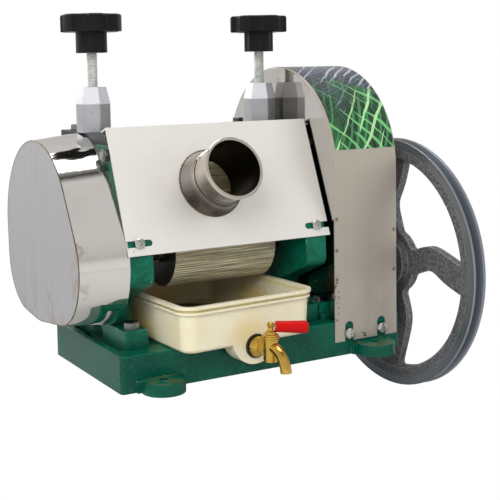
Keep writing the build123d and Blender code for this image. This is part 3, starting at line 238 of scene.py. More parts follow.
# %% Mottle: a patchy mask
mottle, given, result = group("mottle", [("Scale", "Float", 20.0), ("Low", "Float", 0.45),
                                         ("High", "Float", 0.6), ("Stretch", "Vector", (1, 1, 1)),
                                         ("Detail", "Float", 4.0)],
                              [("Mask", "Float"), ("Raw", "Float")])
stretched = vmath(mottle, "MULTIPLY", where(mottle), given["Stretch"])
patches = noise(mottle, stretched, given["Scale"], given["Detail"], 0.6)
mottle.links.new(ramp(mottle, patches, given["Low"], given["High"]), result["Mask"])
mottle.links.new(patches, result["Raw"])
print(mottle.name, "nodes:", len(mottle.nodes))

# %% [markdown]
# Some marks belong at one place, such as rust at a corner. A soft ellipsoid in the machine's frame
# fences them in: it is 1 inside, 0 outside, and fades over the share Soft of its size.

# %% Zone: a soft ellipsoid for marks at one place
zone, given, result = group("zone", [("Centre", "Vector", (0, 0, 0)), ("Half", "Vector", (0.01, 0.01, 0.01)),
                                     ("Soft", "Float", 0.6)], [("Mask", "Float")])
away = vmath(zone, "SUBTRACT", where(zone), given["Centre"])
reach = vmath(zone, "LENGTH", vmath(zone, "DIVIDE", away, given["Half"]), out="Value")
zone.links.new(ramp(zone, reach, plus(zone, 1.0, given["Soft"]), calc(zone, "SUBTRACT", 1.0, given["Soft"])),
               result["Mask"])


def near(tree, centre, half, soft=0.5):
    """The mask of one soft ellipsoid."""
    return use(tree, zone, Centre=centre, Half=half, Soft=soft)["Mask"]


print(zone.name, "nodes:", len(zone.nodes))

# %% [markdown]
# Sheet metal is drawn through rollers, so its fine scratches run one way. Noise stretched along that
# direction gives the drawn look. Turned and ground parts are the same with shorter stretches, so one
# group serves every metal, with the direction as an input.

# %% Brushed: fine lines in one direction
brushed, given, result = group("brushed", [("Stretch", "Vector", (4, 600, 600))],
                               [("Tone", "Float"), ("Fine", "Float")])
drawn = vmath(brushed, "MULTIPLY", where(brushed), given["Stretch"])
drawn_finer = vmath(brushed, "MULTIPLY", drawn, (2.3, 2.3, 2.3))
brushed.links.new(noise(brushed, drawn, 1.0, 4.0, 0.7), result["Tone"])
brushed.links.new(noise(brushed, drawn_finer, 1.0, 6.0, 0.8), result["Fine"])
print(brushed.name, "nodes:", len(brushed.nodes))

# %% [markdown]
# Every material here has one Principled shader, which stays in the material itself. `material`
# makes the pair, and `paint` puts a finished material on the pieces of the frame that carry it.

# %% Material shell
def material(name):
    """A new material with one principled shader; gives back the material, its tree and the shader."""
    m = bpy.data.materials.new(name)
    m.use_nodes = True
    t = m.node_tree
    t.nodes.clear()
    shader = put(t, "BsdfPrincipled")
    put(t, "OutputMaterial", {"Surface": shader.outputs[0]})
    return m, t, shader


def paint(names, m):
    """Puts one material on each named piece of the frame."""
    for n in names:
        slots = nodes[n].data.materials
        slots.clear()
        slots.append(m)
    print(m.name + ":", ", ".join(names))


print("material helpers ready")

# %% [markdown]
# ## Hammered green paint on the castings
#
# The paint is a dark, glossy green over rough castings, so the skin is a little lumpy and every
# lump carries a small highlight. Smooth Voronoi cells give the lumps: their distance value is a
# field of shallow bowls, which noise alone doesn't give. It tints the paint and tilts the normal.

# %% Green paint: lumps and colour
green_paint, t, sh = material("green casting paint")
edge = use(t, soft_edge, Width=0.0016, Breakup=240.0)
obj = where(t)
lumps = put(t, "TexVoronoi", {"Vector": obj, "Scale": 300.0, "Smoothness": 0.8},
            feature="SMOOTH_F1").outputs["Distance"]
cast = noise(t, obj, 70.0, 5.0)
cloud = use(t, mottle, Scale=16.0, Low=0.3, High=0.7)
dust = use(t, mottle, Scale=8.0, Low=0.52, High=0.78)
col = mix(t, cloud["Mask"], rgb(0, 72, 54), rgb(2, 104, 78))
col = mix(t, ramp(t, lumps, 0.35, 0.8, 0.0, 0.35), col, rgb(6, 124, 94))
col = mix(t, times(t, dust["Mask"], 0.08), col, rgb(44, 92, 76))
print("lump size about", round(1000 / 300.0, 1), "mm")

# %% [markdown]
# The paint has chipped down to a pale primer in spots and along edges. The upright faces of the base are
# painted a darker, deeper green as painted shade, and the tops of the bolting lugs are rubbed brown by hands
# and tools. Height above the bench and the way a face looks tell these places apart.

# %% Green paint: chips and rubbed lugs
LUG_TOP, BASE_TOP = 0.0145, 0.045
spots = use(t, mottle, Scale=190.0, Low=0.735, High=0.76, Detail=2.0)
along_edges = use(t, mottle, Scale=85.0, Low=0.54, High=0.62)
chips = calc(t, "MAXIMUM", times(t, edge["Edge"], along_edges["Mask"], 0.7), spots["Mask"])
col = mix(t, chips, col, rgb(168, 196, 178))
height, up = coord(t, obj, "Z"), facing(t, "Z")
# Painted shade: upright faces of the base are mixed towards a darker green.
upright_shade = times(t, ramp(t, height, BASE_TOP + 0.015, BASE_TOP), ramp(t, up, 0.6, 0.3))
col = mix(t, times(t, upright_shade, 0.5), col, rgb(0, 52, 44))
hands = use(t, mottle, Scale=60.0, Low=0.42, High=0.62)
rubbed = times(t, ramp(t, height, LUG_TOP + 0.0055, LUG_TOP), ramp(t, up, 0.7, 0.95), hands["Mask"])
col = mix(t, times(t, rubbed, 0.6), col, rgb(104, 92, 62))
skin = plus(t, times(t, lumps, 0.7), cast)
fill(t, sh, Base_Color=col, Metallic=times(t, calc(t, "SUBTRACT", 1.0, chips), 0.12),
     Roughness=ramp(t, cloud["Raw"], 0.2, 0.8, 0.26, 0.42), Coat_Weight=0.08, Coat_Roughness=0.1,
     Specular_IOR_Level=0.22, Normal=bump(t, skin, edge["Normal"], 0.28, 0.0008))
paint(["base_casting", "cheek_left", "cheek_right", "drive_bearing_housing"], green_paint)

# %% [markdown]
# The plates that close the tops of the cheeks are steel with a black oxide skin. It is almost
# black, slightly blue, and rubs through to bright steel along the edges. The edge mask does that
# in one mix.

# %% Black oxide steel
black_steel, t, sh = material("black oxide steel")
edge = use(t, soft_edge, Width=0.0008, Breakup=300.0)
cloud = use(t, mottle, Scale=40.0, Low=0.35, High=0.7)
col = mix(t, cloud["Mask"], rgb(20, 21, 25), rgb(44, 46, 52))
col = mix(t, times(t, edge["Edge"], 0.6), col, rgb(120, 122, 126))
fill(t, sh, Base_Color=col, Metallic=0.7, Roughness=ramp(t, cloud["Raw"], 0.2, 0.8, 0.30, 0.5),
     Normal=bump(t, cloud["Raw"], edge["Normal"], 0.2, 0.0004))
paint(["bearing_caps"], black_steel)

# %% [markdown]
# ## Stainless sheet
#
# Five sheets of the machine are stainless steel in different states, from satin to mirror. They share
# one recipe, with scratches that darken the tone a little, hand marks that dull it, and a roughness
# that follows the scratches. The colour, the roughness and the drawing direction differ.

# %% One recipe for the sheets
HAND_MARKS = rgb(150, 138, 116)


def stainless(name, colour, rough, stretch, metallic=1.0, streak=0.04, smear=0.08, relief=0.05):
    """Drawn sheet; streak and smear say how much darker scratches and hand marks are."""
    m, t, sh = material(name)
    edge = use(t, soft_edge, Width=0.0006)
    lines = use(t, brushed, Stretch=stretch)
    hand = use(t, mottle, Scale=14.0, Low=0.42, High=0.72)
    darker = (*((1 - streak) * c for c in colour[:3]), 1)
    col = mix(t, ramp(t, lines["Tone"], 0.3, 0.7), colour, darker)
    col = mix(t, times(t, hand["Mask"], smear), col, HAND_MARKS)
    dull = plus(t, ramp(t, lines["Fine"], 0.25, 0.75, rough - 0.02, rough + 0.04), times(t, hand["Mask"], 0.04))
    fill(t, sh, Base_Color=col, Metallic=metallic, Roughness=dull,
         Normal=bump(t, lines["Fine"], edge["Normal"], relief, 0.0001))
    return m, t, sh, col


print("sheet recipe ready")

# %% [markdown]
# The shield over the rollers is the largest and palest sheet. It is satin, nearly even, with a few
# brown specks at its two lower corners. A zone round each corner lets the specks through.

# %% Shield
shield_steel, t, sh, col = stainless("shield stainless", rgb(228, 224, 218), 0.38, (4, 420, 420), 0.55,
                                     streak=0.02, smear=0.05)
specks = use(t, mottle, Scale=260.0, Low=0.66, High=0.70, Detail=2.0)
corners = [near(t, (x, -0.098, 0.155), (0.012, 0.02, 0.008)) for x in (-0.17, 0.08)]
col = mix(t, times(t, specks["Mask"], calc(t, "MAXIMUM", *corners)), col, rgb(110, 74, 44))
fill(t, sh, Base_Color=col)
paint(["front_shield", "rear_discharge_plate"], shield_steel)

# %% [markdown]
# The feed tube and its collar are bright rolled tube, slanting forward and up. A mark on a tube is
# best placed by two measures: how far along the axis it is, and how far from the axis. Both come
# from the bore that the record gives as a mount: the dot product with the axis, and the length of
# the cross product.

# %% Feed tube: where a point is on the tube
bore = next(m for m in frame["record"]["mounts"] if m["name"] == "feed_tube_bore")
bore_r = bore["dims"]["r_mm"] / 1000
AXIS_CLIMB = 0.37
tube_steel, t, sh, col = stainless("feed tube stainless", rgb(214, 208, 198), 0.10, (300, 12, 300), smear=0.2)
away = vmath(t, "SUBTRACT", where(t), bore["pos_m"])
off_axis = vmath(t, "LENGTH", vmath(t, "CROSS_PRODUCT", away, bore["axis"]), out="Value")
along = vmath(t, "DOT_PRODUCT", away, bore["axis"], "Value")
above_axis = plus(t, coord(t, away, "Z"), times(t, along, -AXIS_CLIMB))
print("feed tube bore radius", bore["dims"]["r_mm"], "mm")

# %% [markdown]
# Welding has drawn straw, brown and blue colours into the tube near the joint. The underside is painted dark
# brown, a painted reflection of dark surroundings, broken up by the heat mottle. The mouth is pale and bare,
# and the inside is painted near black as painted shade, and dull.

# %% Feed tube: heat, painted underside reflection, mouth and bore
heat = use(t, mottle, Scale=46.0, Low=0.3, High=0.7)
outside = ramp(t, off_axis, bore_r, bore_r + 0.0007)
inside = ramp(t, off_axis, bore_r + 0.0008, bore_r + 0.0003)
welded = times(t, ramp(t, along, 0.006, -0.004), outside)
col = mix(t, times(t, welded, 0.55), col, mix(t, heat["Mask"], rgb(92, 66, 44), rgb(96, 102, 124)))
# Painted reflection: the side below the axis is painted dark, as if it mirrored dark surroundings.
underside_dark_reflection = times(t, ramp(t, above_axis, 0.006, -0.016), plus(t, times(t, heat["Mask"], 0.25), 0.68))
col = mix(t, underside_dark_reflection, col, rgb(48, 39, 32))
col = mix(t, ramp(t, along, 0.032, 0.034), col, rgb(208, 200, 184))
# Painted shade: the inside of the bore is painted near black.
col = mix(t, inside, col, rgb(34, 30, 26))
fill(t, sh, Base_Color=col, Roughness=ramp(t, inside, 0.0, 1.0, 0.12, 0.42))
paint(["feed_tube", "feed_collar"], tube_steel)

# %% [markdown]
# ## Drive cover
#
# The cover's front sheet is duller and browner than the shield. Juice has dried in brown spots along
# its left edge near the bottom, with a pale haze beside them. Spots are a sharp mottle, fenced in
# by zones on the front face.

# %% Drive cover sheet
cover_low, cover_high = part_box("drive_cover_band")
front_y = cover_low[1]
cover_steel, t, sh, col = stainless("drive cover stainless", rgb(176, 168, 156), 0.32, (300, 300, 5),
                                    metallic=0.5, streak=0.05)
spots = use(t, mottle, Scale=230.0, Low=0.56, High=0.62, Detail=2.0)
drips = calc(t, "MAXIMUM", near(t, (cover_low[0] + 0.002, front_y, 0.072), (0.005, 0.01, 0.030)),
             near(t, (0.135, front_y, 0.022), (0.007, 0.01, 0.004)))
col = mix(t, times(t, spots["Mask"], drips), col, rgb(84, 44, 20))
haze = use(t, mottle, Scale=30.0, Low=0.45, High=0.65)
foot = near(t, (0.15, front_y, 0.05), (0.05, 0.02, 0.05), 0.7)
col = mix(t, times(t, haze["Mask"], foot, 0.3), col, rgb(196, 190, 178))
print("drive cover front at y", round(front_y, 4))

# %% [markdown]
# Five spot welds hold the flanges behind the front sheet. Each shows as a small dark dot in a ring
# that the heat has browned. They are too shallow for a solid, so they are zones of colour at the
# five places.

# %% Spot welds
SPOT_WELDS = ((0.0945, 0.1687), (0.0945, 0.1304), (0.0945, 0.0949), (0.1815, 0.149), (0.1815, 0.099))
dots = halos = 0.0
for x, z in SPOT_WELDS:
    dots = calc(t, "MAXIMUM", dots, near(t, (x, front_y, z), (0.0016, 0.004, 0.0016), 0.35))
    halos = calc(t, "MAXIMUM", halos, near(t, (x, front_y, z), (0.003, 0.004, 0.003), 0.4))
col = mix(t, times(t, halos, 0.35), col, rgb(120, 96, 70))
col = mix(t, times(t, dots, 0.8), col, rgb(66, 58, 48))
fill(t, sh, Base_Color=col)
print("spot welds:", len(SPOT_WELDS))
paint(["drive_cover_band", "drive_cover_outer_side"], cover_steel)

# %% [markdown]
# The cover's side towards the rollers is polished almost to a mirror, and a little rust has come
# through where it meets the band at the top. Nothing is painted on a mirror: a very low roughness and
# almost no relief let the cheek and the rollers show in it, and only the hand marks dull it.

# %% Drive cover side
side_steel, t, sh, col = stainless("cover side stainless", rgb(190, 187, 182), 0.05, (400, 6, 400),
                                   smear=0.14, relief=0.02)
rust = use(t, mottle, Scale=24.0, Low=0.5, High=0.68)
rusty = times(t, rust["Mask"], near(t, (cover_low[0], -0.02, cover_high[2] - 0.02), (0.02, 0.05, 0.02)), 0.5)
fill(t, sh, Base_Color=mix(t, rusty, col, rgb(140, 100, 70)))
paint(["drive_cover_inner_side"], side_steel)

# %% [markdown]
# ## Roller gear cover
#
# A deep cover hides the three roller gears. Its rim is polished like a mirror, while its end face is
# satin, and the join between them has gone dark. Both are one piece of the frame, so the direction a
# face looks in tells them apart.

# %% Roller gear cover: mirror rim, satin face
low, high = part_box("roller_gear_cover")
gear_cover_steel, t, sh, col = stainless("gear cover stainless", rgb(232, 228, 222), 0.06, (500, 7, 500),
                                         smear=0.12, relief=0.02)
end_face = ramp(t, facing(t, "X"), -0.9, -0.97)
lines = use(t, brushed, Stretch=(300, 300, 6))
satin = mix(t, ramp(t, lines["Tone"], 0.3, 0.7), rgb(170, 169, 170), rgb(162, 160, 160))
col = mix(t, end_face, col, satin)
edge = use(t, soft_edge, Width=0.0022, Breakup=500.0)
col = mix(t, times(t, edge["Edge"], end_face, 0.75), col, rgb(70, 62, 50))
print("gear cover end face at x", round(low[0], 4))

# %% [markdown]
# Brown water marks stand along the front and lower borders of the end face, with one cluster of
# specks near the front. Two zones, each longer than it is deep, follow those borders.

# %% Roller gear cover: water marks
water = use(t, mottle, Scale=44.0, Low=0.46, High=0.66, Stretch=(1, 1.6, 0.8))
front_border = near(t, (low[0], low[1] + 0.004, 0.14), (0.01, 0.02, 0.07), 0.6)
lower_border = near(t, (low[0], (low[1] + high[1]) / 2, low[2] + 0.004), (0.01, 0.07, 0.04), 0.6)
border = calc(t, "MAXIMUM", front_border, lower_border)
col = mix(t, times(t, water["Mask"], border, 0.5), col, rgb(128, 98, 66))
cluster = near(t, (low[0] + 0.006, low[1] + 0.02, 0.112), (0.008, 0.01, 0.006))
speck = use(t, mottle, Scale=300.0, Low=0.5, High=0.6)
col = mix(t, times(t, cluster, speck["Mask"], 0.7), col, rgb(112, 84, 54))
fill(t, sh, Base_Color=col, Metallic=ramp(t, end_face, 0.0, 1.0, 1.0, 0.45),
     Roughness=ramp(t, end_face, 0.0, 1.0, 0.07, 0.42))
paint(["roller_gear_cover"], gear_cover_steel)

# %% [markdown]
# ## Plated, machined and cast metals
#
# Small metal parts share one recipe: a base colour, patchy tarnish, rounded shiny edges and fine
# turning marks. Only the colours, the roughness and the grain differ.

# %% One recipe for the plain metals
def metal(name, colour, tarnished, rough, grain=(300, 300, 300), metallic=1.0, tarnish=0.35,
          bumpiness=0.12, width=0.0007):
    """Plain metal; tarnish says how far its patches go to the tarnished colour, width how wide edges are."""
    m, t, sh = material(name)
    edge = use(t, soft_edge, Width=width)
    marks = use(t, brushed, Stretch=grain)
    patch = use(t, mottle, Scale=55.0, Low=0.42, High=0.66)
    brighter = (*(min(1.0, 1.35 * c) for c in colour[:3]), 1)
    col = mix(t, times(t, patch["Mask"], tarnish), colour, tarnished)
    col = mix(t, times(t, edge["Edge"], 0.5), col, brighter)
    fill(t, sh, Base_Color=col, Metallic=metallic,
         Roughness=ramp(t, marks["Fine"], 0.25, 0.75, rough - 0.06, rough + 0.08),
         Normal=bump(t, marks["Tone"], edge["Normal"], bumpiness, 0.0004))
    return m, t, sh, col


print("metal recipe ready")

# %% [markdown]
# The screw towers are painted with aluminium paint over rough castings: matt, grey, with small pits.
# Their tapered heads are turned, so they are lighter than the hexagons below. The height where the
# taper starts tells the two apart.

# %% Aluminium paint on the towers
TAPER_FOOT = 0.3125
tower_paint, t, sh, col = metal("tower aluminium paint", rgb(170, 171, 174), rgb(146, 147, 150), 0.36,
                                (260, 260, 260), metallic=0.6, bumpiness=0.2, width=0.0011)
pits = use(t, mottle, Scale=330.0, Low=0.69, High=0.72, Detail=2.0)
taper = ramp(t, coord(t, where(t), "Z"), TAPER_FOOT, TAPER_FOOT + 0.0013)
col = mix(t, taper, col, rgb(216, 217, 220))
fill(t, sh, Base_Color=mix(t, pits["Mask"], col, rgb(92, 92, 92)))
paint(["screw_tower_left", "screw_tower_right"], tower_paint)

# %% [markdown]
# The pressure screws are zinc plated. The thread grooves are painted darker than the crests, unevenly, as
# painted shade in the grooves. A sine of the height, one turn per pitch, tells crest from groove.

# %% Threaded zinc
PITCH_M = 0.00175
screw_zinc, t, sh, col = metal("threaded zinc", rgb(226, 229, 224), rgb(196, 198, 186), 0.30,
                               metallic=0.6, width=0.0002)
wave = calc(t, "SINE", times(t, coord(t, where(t), "Z"), 2 * math.pi / PITCH_M))
# Painted shade in the thread grooves, made patchy by this mottle.
groove_shade_patches = use(t, mottle, Scale=150.0, Low=0.35, High=0.6)
groove_shade = times(t, ramp(t, wave, 0.1, -0.6), plus(t, times(t, groove_shade_patches["Mask"], 0.4), 0.15))
fill(t, sh, Base_Color=mix(t, groove_shade, col, rgb(70, 72, 60)))
paint(["pressure_screw_left", "pressure_screw_right"], screw_zinc)

# %% [markdown]
# Rods, bolts, screws, shafts, gears and bushes need nothing beyond the recipe. A table of their
# numbers is easier to read and to change than one cell for each.

# %% Rods, bolts, shafts, gears, bushes and brass
FASTENERS = ["cheek_bolts", "housing_bolts", "cap_bolts", "tie_rod_nuts", "cover_spacers", "top_shaft_nuts",
             "front_shaft_nut", "rear_shaft_nut", "flywheel_nut_and_washer"]
SHAFTS = ["top_roller_shaft", "front_roller_shaft", "rear_roller_shaft", "flywheel_shaft", "shaft_collar",
          "thrust_pads", "cane_guide_bar"]
GEARS = ["top_roller_gear", "front_roller_gear", "rear_roller_gear", "bull_gear", "drive_pinion",
         "bearing_blocks"]
BUSHES = ["top_roller_bushes", "lower_roller_bushes", "drive_bushes"]
TAP = ["tap_body", "tap_back_nut", "tap_plug", "tap_lever"]
for name, colour, tarnished, rough, grain, tarnish, pieces in (
        ("rod zinc", rgb(188, 190, 184), rgb(120, 122, 104), 0.26, 300, 0.35, ["tie_rods", "crank_stud"]),
        ("bolt zinc", rgb(140, 144, 142), rgb(78, 78, 72), 0.34, 300, 0.6, FASTENERS),
        ("pan screw steel", rgb(206, 204, 198), rgb(140, 132, 114), 0.18, 300, 0.35, ["panel_screws"]),
        ("machined steel", rgb(160, 158, 152), rgb(106, 92, 74), 0.26, (30, 500, 500), 0.35, SHAFTS),
        ("oiled gear iron", rgb(84, 84, 86), rgb(40, 36, 32), 0.34, 200, 0.6, GEARS),
        ("bronze", rgb(150, 116, 74), rgb(92, 70, 46), 0.32, 400, 0.5, BUSHES),
        ("polished brass", rgb(214, 174, 82), rgb(136, 98, 38), 0.17, 260, 0.4, TAP)):
    stretch = grain if isinstance(grain, tuple) else (grain, grain, grain)
    paint(pieces, metal(name, colour, tarnished, rough, stretch, tarnish=tarnish)[0])

# %% [markdown]
# ## Welded seams
#
# Some seams are too fine for the solids: the bead where the gear cover's end face meets its rim, and
# the rings of weld round the feed collar. Each is a thin round bead carried along a closed path. Path
# and cross-section are whole arrays, so one product of the two makes every point.

# %% A bead along a closed path
def bead(name, path, across, radius, body, wobble=0.0):
    """A closed round bead. path is N points, and across is a unit vector square to it everywhere.
    Point (i, j) = path i + r (cos a across + sin a other), with a = 2 pi j / 8 and
    other = tangent x across. r is radius, swollen and shrunk by the share wobble along the way."""
    tangent = np.roll(path, -1, 0) - np.roll(path, 1, 0)
    tangent /= np.linalg.norm(tangent, axis=1)[:, None]
    other = np.cross(tangent, across)
    a = 2 * np.pi * np.arange(8) / 8
    swell = radius * (1 + wobble * np.sin(1.7 * np.arange(len(path))))
    ring = np.cos(a)[None, :, None] * np.asarray(across) + np.sin(a)[None, :, None] * other[:, None]
    points = (path[:, None] + swell[:, None, None] * ring).reshape(-1, 3)
    i, j = np.meshgrid(np.arange(len(path)), np.arange(8), indexing="ij")
    n, k = (i + 1) % len(path), (j + 1) % 8
    faces = np.stack([i * 8 + j, i * 8 + k, n * 8 + k, n * 8 + j], -1).reshape(-1, 4)
    mesh = bpy.data.meshes.new(name)
    mesh.from_pydata(points.tolist(), [], faces.tolist())
    mesh.polygons.foreach_set("use_smooth", np.ones(len(faces), bool))
    piece = bpy.data.objects.new(name, mesh)
    bpy.context.scene.collection.objects.link(piece)
    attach(piece, body)
    return piece


def circle(count):
    """count unit vectors round a circle, as (cos, sin)."""
    a = 2 * np.pi * np.arange(count) / count
    return np.column_stack([np.cos(a), np.sin(a)])


print("bead recipe ready")

# %% [markdown]
# The outline of the end face is a belt pulled round three circles, one over each roller gear. The
# edge of such a belt in a direction u is the point centre + r u of whichever circle reaches
# furthest that way, so one argmax over the three finds the whole outline.

# %% Seam of the gear cover
belt_circles = np.array([(38.6, 167.0, 105.7), (-24.5, 136.0, 67.3), (77.0, 130.6, 65.6)]) / 1000  # y, z, r
u = circle(300)
furthest = np.argmax(u @ belt_circles[:, :2].T + belt_circles[:, 2], axis=1)
yz = belt_circles[furthest, :2] + (belt_circles[furthest, 2:] - 0.0003) * u
gear_cover_low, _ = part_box("roller_gear_cover")
path = np.column_stack([np.full(len(u), gear_cover_low[0] + 0.0004), yz])
cover_seam = bead("gear_cover_seam", path, (1.0, 0.0, 0.0), 0.0007, "frame")
print("seam length", round(float(np.linalg.norm(path - np.roll(path, 1, 0), axis=1).sum()), 3), "m")

# %% [markdown]
# The collar is welded to the shield and the tube to the collar. Each weld is a circle round the
# tube's axis, and its bead swells and shrinks a little, as a hand weld does.

# %% Welds round the feed collar and the tube
axis = np.array(bore["axis"])
side = np.array((1.0, 0.0, 0.0))
upward = np.cross(axis, side)
rings = []
for name, along_axis, radius, thick in (("collar_weld", -0.0195, 0.0397, 0.0009),
                                        ("tube_weld", 0.0061, 0.0334, 0.0006)):
    centre = np.array(bore["pos_m"]) + along_axis * axis
    path = centre + radius * (circle(160) @ np.array([side, upward]))
    rings.append(bead(name, path, axis, thick, "frame", wobble=0.2))
print("weld rings:", [ring.name for ring in rings])

# %% [markdown]
# Weld metal is browner than the sheet beside it and heavily tarnished. The recipe for plain metals has a number
# for each, so it needs no material of its own kind. The beads are new pieces, so each is given the weld metal
# here.

# %% Weld metal
weld_steel, t, sh, col = metal("weld metal", rgb(136, 122, 98), rgb(74, 62, 48), 0.34, tarnish=0.7)
for piece in [cover_seam] + rings:
    piece.data.materials.append(weld_steel)
print("pieces with weld metal:", 1 + len(rings))

# %% [markdown]
# ## Ribbed rollers
#
# The ribs themselves are solid. Dried juice fills the grooves between them, so light and dark lines run along
# the roller, in olive and tan. The end faces are painted near black as painted shade, and the edges, the turned
# rims of the ends among them, carry a painted highlight. Noise stretched along X gives the lines, and the
# normal finds the end faces.

# %% Roller iron
roller_iron, t, sh = material("roller iron")
edge = use(t, soft_edge, Width=0.0012)
line = noise(t, vmath(t, "MULTIPLY", where(t), (14, 520, 520)), 1.0, 4.0, 0.6)
tan = use(t, mottle, Scale=26.0, Low=0.4, High=0.65)
end_face = ramp(t, calc(t, "ABSOLUTE", facing(t, "X")), 0.9, 0.97)
end_face_shade = mix(t, ramp(t, tan["Raw"], 0.3, 0.7), rgb(16, 16, 16), rgb(44, 42, 38))
col = mix(t, ramp(t, line, 0.34, 0.64), rgb(104, 98, 72), rgb(232, 222, 186))
col = mix(t, times(t, tan["Mask"], 0.4), col, rgb(176, 158, 108))
# Painted shade: the end faces are painted near black.
col = mix(t, end_face, col, end_face_shade)
# Painted highlight: the edges, the end rims among them, are painted light.
col = mix(t, times(t, edge["Edge"], 0.6), col, rgb(198, 194, 182))
fill(t, sh, Base_Color=col, Metallic=0.25, Roughness=0.4, Normal=bump(t, line, edge["Normal"], 0.15, 0.0003))
paint(["top_roller", "front_roller", "rear_roller"], roller_iron)

# %% [markdown]
# ## Flywheel
#
# The wheel was cast in sand, so its spokes are pebbly and grey. The rim was turned in a lathe, which
# leaves its edges and the V groove smoother and lighter. The distance from the wheel's axis tells
# the two apart.

# %% Flywheel: cast or turned
low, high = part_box("flywheel")
wheel_y, wheel_z = ((low[i] + high[i]) / 2 for i in (1, 2))
wheel_r = (high[2] - low[2]) / 2
cast_iron, t, sh = material("sand cast iron")
obj = where(t)
from_y = calc(t, "SUBTRACT", coord(t, obj, "Y"), wheel_y)
from_z = calc(t, "SUBTRACT", coord(t, obj, "Z"), wheel_z)
radius = calc(t, "SQRT", plus(t, times(t, from_y, from_y), times(t, from_z, from_z)))
turned = ramp(t, radius, wheel_r - 0.0125, wheel_r - 0.0085)
print("flywheel radius", round(wheel_r, 4), "m")

# %% [markdown]
# Sand leaves tiny bright grains on the cast skin. The lathe leaves rings: noise that changes only
# with the radius and along the axis is the same all the way round, so it draws them.

# %% Flywheel: sand and lathe rings
edge = use(t, soft_edge, Width=0.0016, Breakup=300.0)
pebble = noise(t, obj, 280.0, 5.0, 0.65)
grains = use(t, mottle, Scale=520.0, Low=0.66, High=0.70, Detail=1.0)
sand = mix(t, ramp(t, pebble, 0.3, 0.7), rgb(66, 67, 69), rgb(122, 123, 125))
sand = mix(t, times(t, grains["Mask"], 0.5), sand, rgb(178, 180, 184))
round_axis = put(t, "CombineXYZ", {0: times(t, coord(t, obj, "X"), 900.0), 1: times(t, radius, 900.0)})
lathe_rings = noise(t, round_axis.outputs[0], 1.0, 3.0)
lathe = mix(t, ramp(t, lathe_rings, 0.3, 0.7), rgb(124, 130, 138), rgb(164, 170, 178))
col = mix(t, turned, sand, lathe)
col = mix(t, times(t, edge["Edge"], 0.75), col, rgb(186, 188, 190))
relief = mix(t, turned, pebble, times(t, lathe_rings, 0.25))
fill(t, sh, Base_Color=col, Metallic=ramp(t, turned, 0.0, 1.0, 0.4, 0.9),
     Roughness=ramp(t, turned, 0.0, 1.0, 0.55, 0.34), Normal=bump(t, relief, edge["Normal"], 0.5, 0.0010))
paint(["flywheel"], cast_iron)

# %% [markdown]
# ## Plastics, rubber and wood
#
# The star knobs are black phenolic plastic, the gasket is rubber and the sleeve on the tap's lever
# is soft red plastic. One recipe serves them, with grain and gloss as inputs.

# %% One recipe for the plastics
def plastic(name, colour, rough, patch_colour, patch_amount, grain=500.0):
    """Moulded plastic; its patches go to patch_colour by patch_amount, and grain is its fine texture."""
    m, t, sh = material(name)
    edge = use(t, soft_edge, Width=0.0012)
    patch = use(t, mottle, Scale=22.0, Low=0.4, High=0.7)
    col = mix(t, times(t, patch["Mask"], patch_amount), colour, patch_colour)
    fill(t, sh, Base_Color=col, Roughness=ramp(t, patch["Raw"], 0.2, 0.8, rough - 0.05, rough + 0.08),
         Normal=bump(t, noise(t, where(t), grain, 3.0), edge["Normal"], 0.15, 0.0002))
    return m, t, sh, col


knob_plastic, t, sh, col = plastic("knob plastic", rgb(10, 10, 12), 0.40, rgb(20, 20, 21), 0.6)
fill(t, sh, Specular_IOR_Level=0.22)
paint(["star_knob_left", "star_knob_right"], knob_plastic)
gasket_rubber, t, sh, col = plastic("gasket rubber", rgb(12, 12, 14), 0.55, rgb(26, 26, 26), 0.5)
paint(["tap_gasket"], gasket_rubber)
red_sleeve, t, sh, col = plastic("red sleeve", rgb(180, 0, 0), 0.45, rgb(154, 0, 0), 0.4)
fill(t, sh, Specular_IOR_Level=0.2)
paint(["lever_sleeve"], red_sleeve)

# %% [markdown]
# The tray is moulded in ivory plastic, slightly translucent. A yellow film of juice sits on the step
# below its lip, and inside, the floor is brown where juice dried and the walls have turned yellow.
# A zone just smaller than the tray fences the inside off from the outside walls.

# %% Ivory tray
tray_plastic, t, sh, col = plastic("ivory plastic", rgb(216, 209, 182), 0.28, rgb(213, 202, 164), 0.7, 350.0)
low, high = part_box("juice_tray")
rim_z = high[2]
z, up = coord(t, where(t), "Z"), facing(t, "Z")
step = times(t, ramp(t, z, rim_z - 0.0066, rim_z - 0.0058), ramp(t, z, rim_z - 0.0032, rim_z - 0.0040))
middle_t = tuple((a + b) / 2 for a, b in zip(low, high))
inside = near(t, middle_t, ((high[0] - low[0]) * 0.47, (high[1] - low[1]) * 0.47, 0.06), 0.06)
pool = use(t, mottle, Scale=20.0, Low=0.34, High=0.6)
floor_mask = times(t, ramp(t, up, 0.8, 0.95), ramp(t, z, rim_z - 0.010, rim_z - 0.016), inside)
walls = times(t, inside, ramp(t, calc(t, "ABSOLUTE", up), 0.5, 0.2))
col = mix(t, times(t, step, 0.6), col, rgb(214, 196, 84))
col = mix(t, times(t, floor_mask, plus(t, times(t, pool["Mask"], 0.3), 0.68)), col, rgb(54, 36, 19))
col = mix(t, times(t, walls, 0.7), col, rgb(214, 186, 102))
fill(t, sh, Base_Color=col, Subsurface_Weight=0.12, Subsurface_Radius=(0.6, 0.5, 0.3), Subsurface_Scale=0.004)
print("tray rim at z", round(rim_z, 4))
paint(["juice_tray"], tray_plastic)

# %% [markdown]
# The crank grip is turned from hardwood and varnished. Its grain runs along the grip, so the brushed
# group is stretched along X, and a clear coat over it is the varnish.

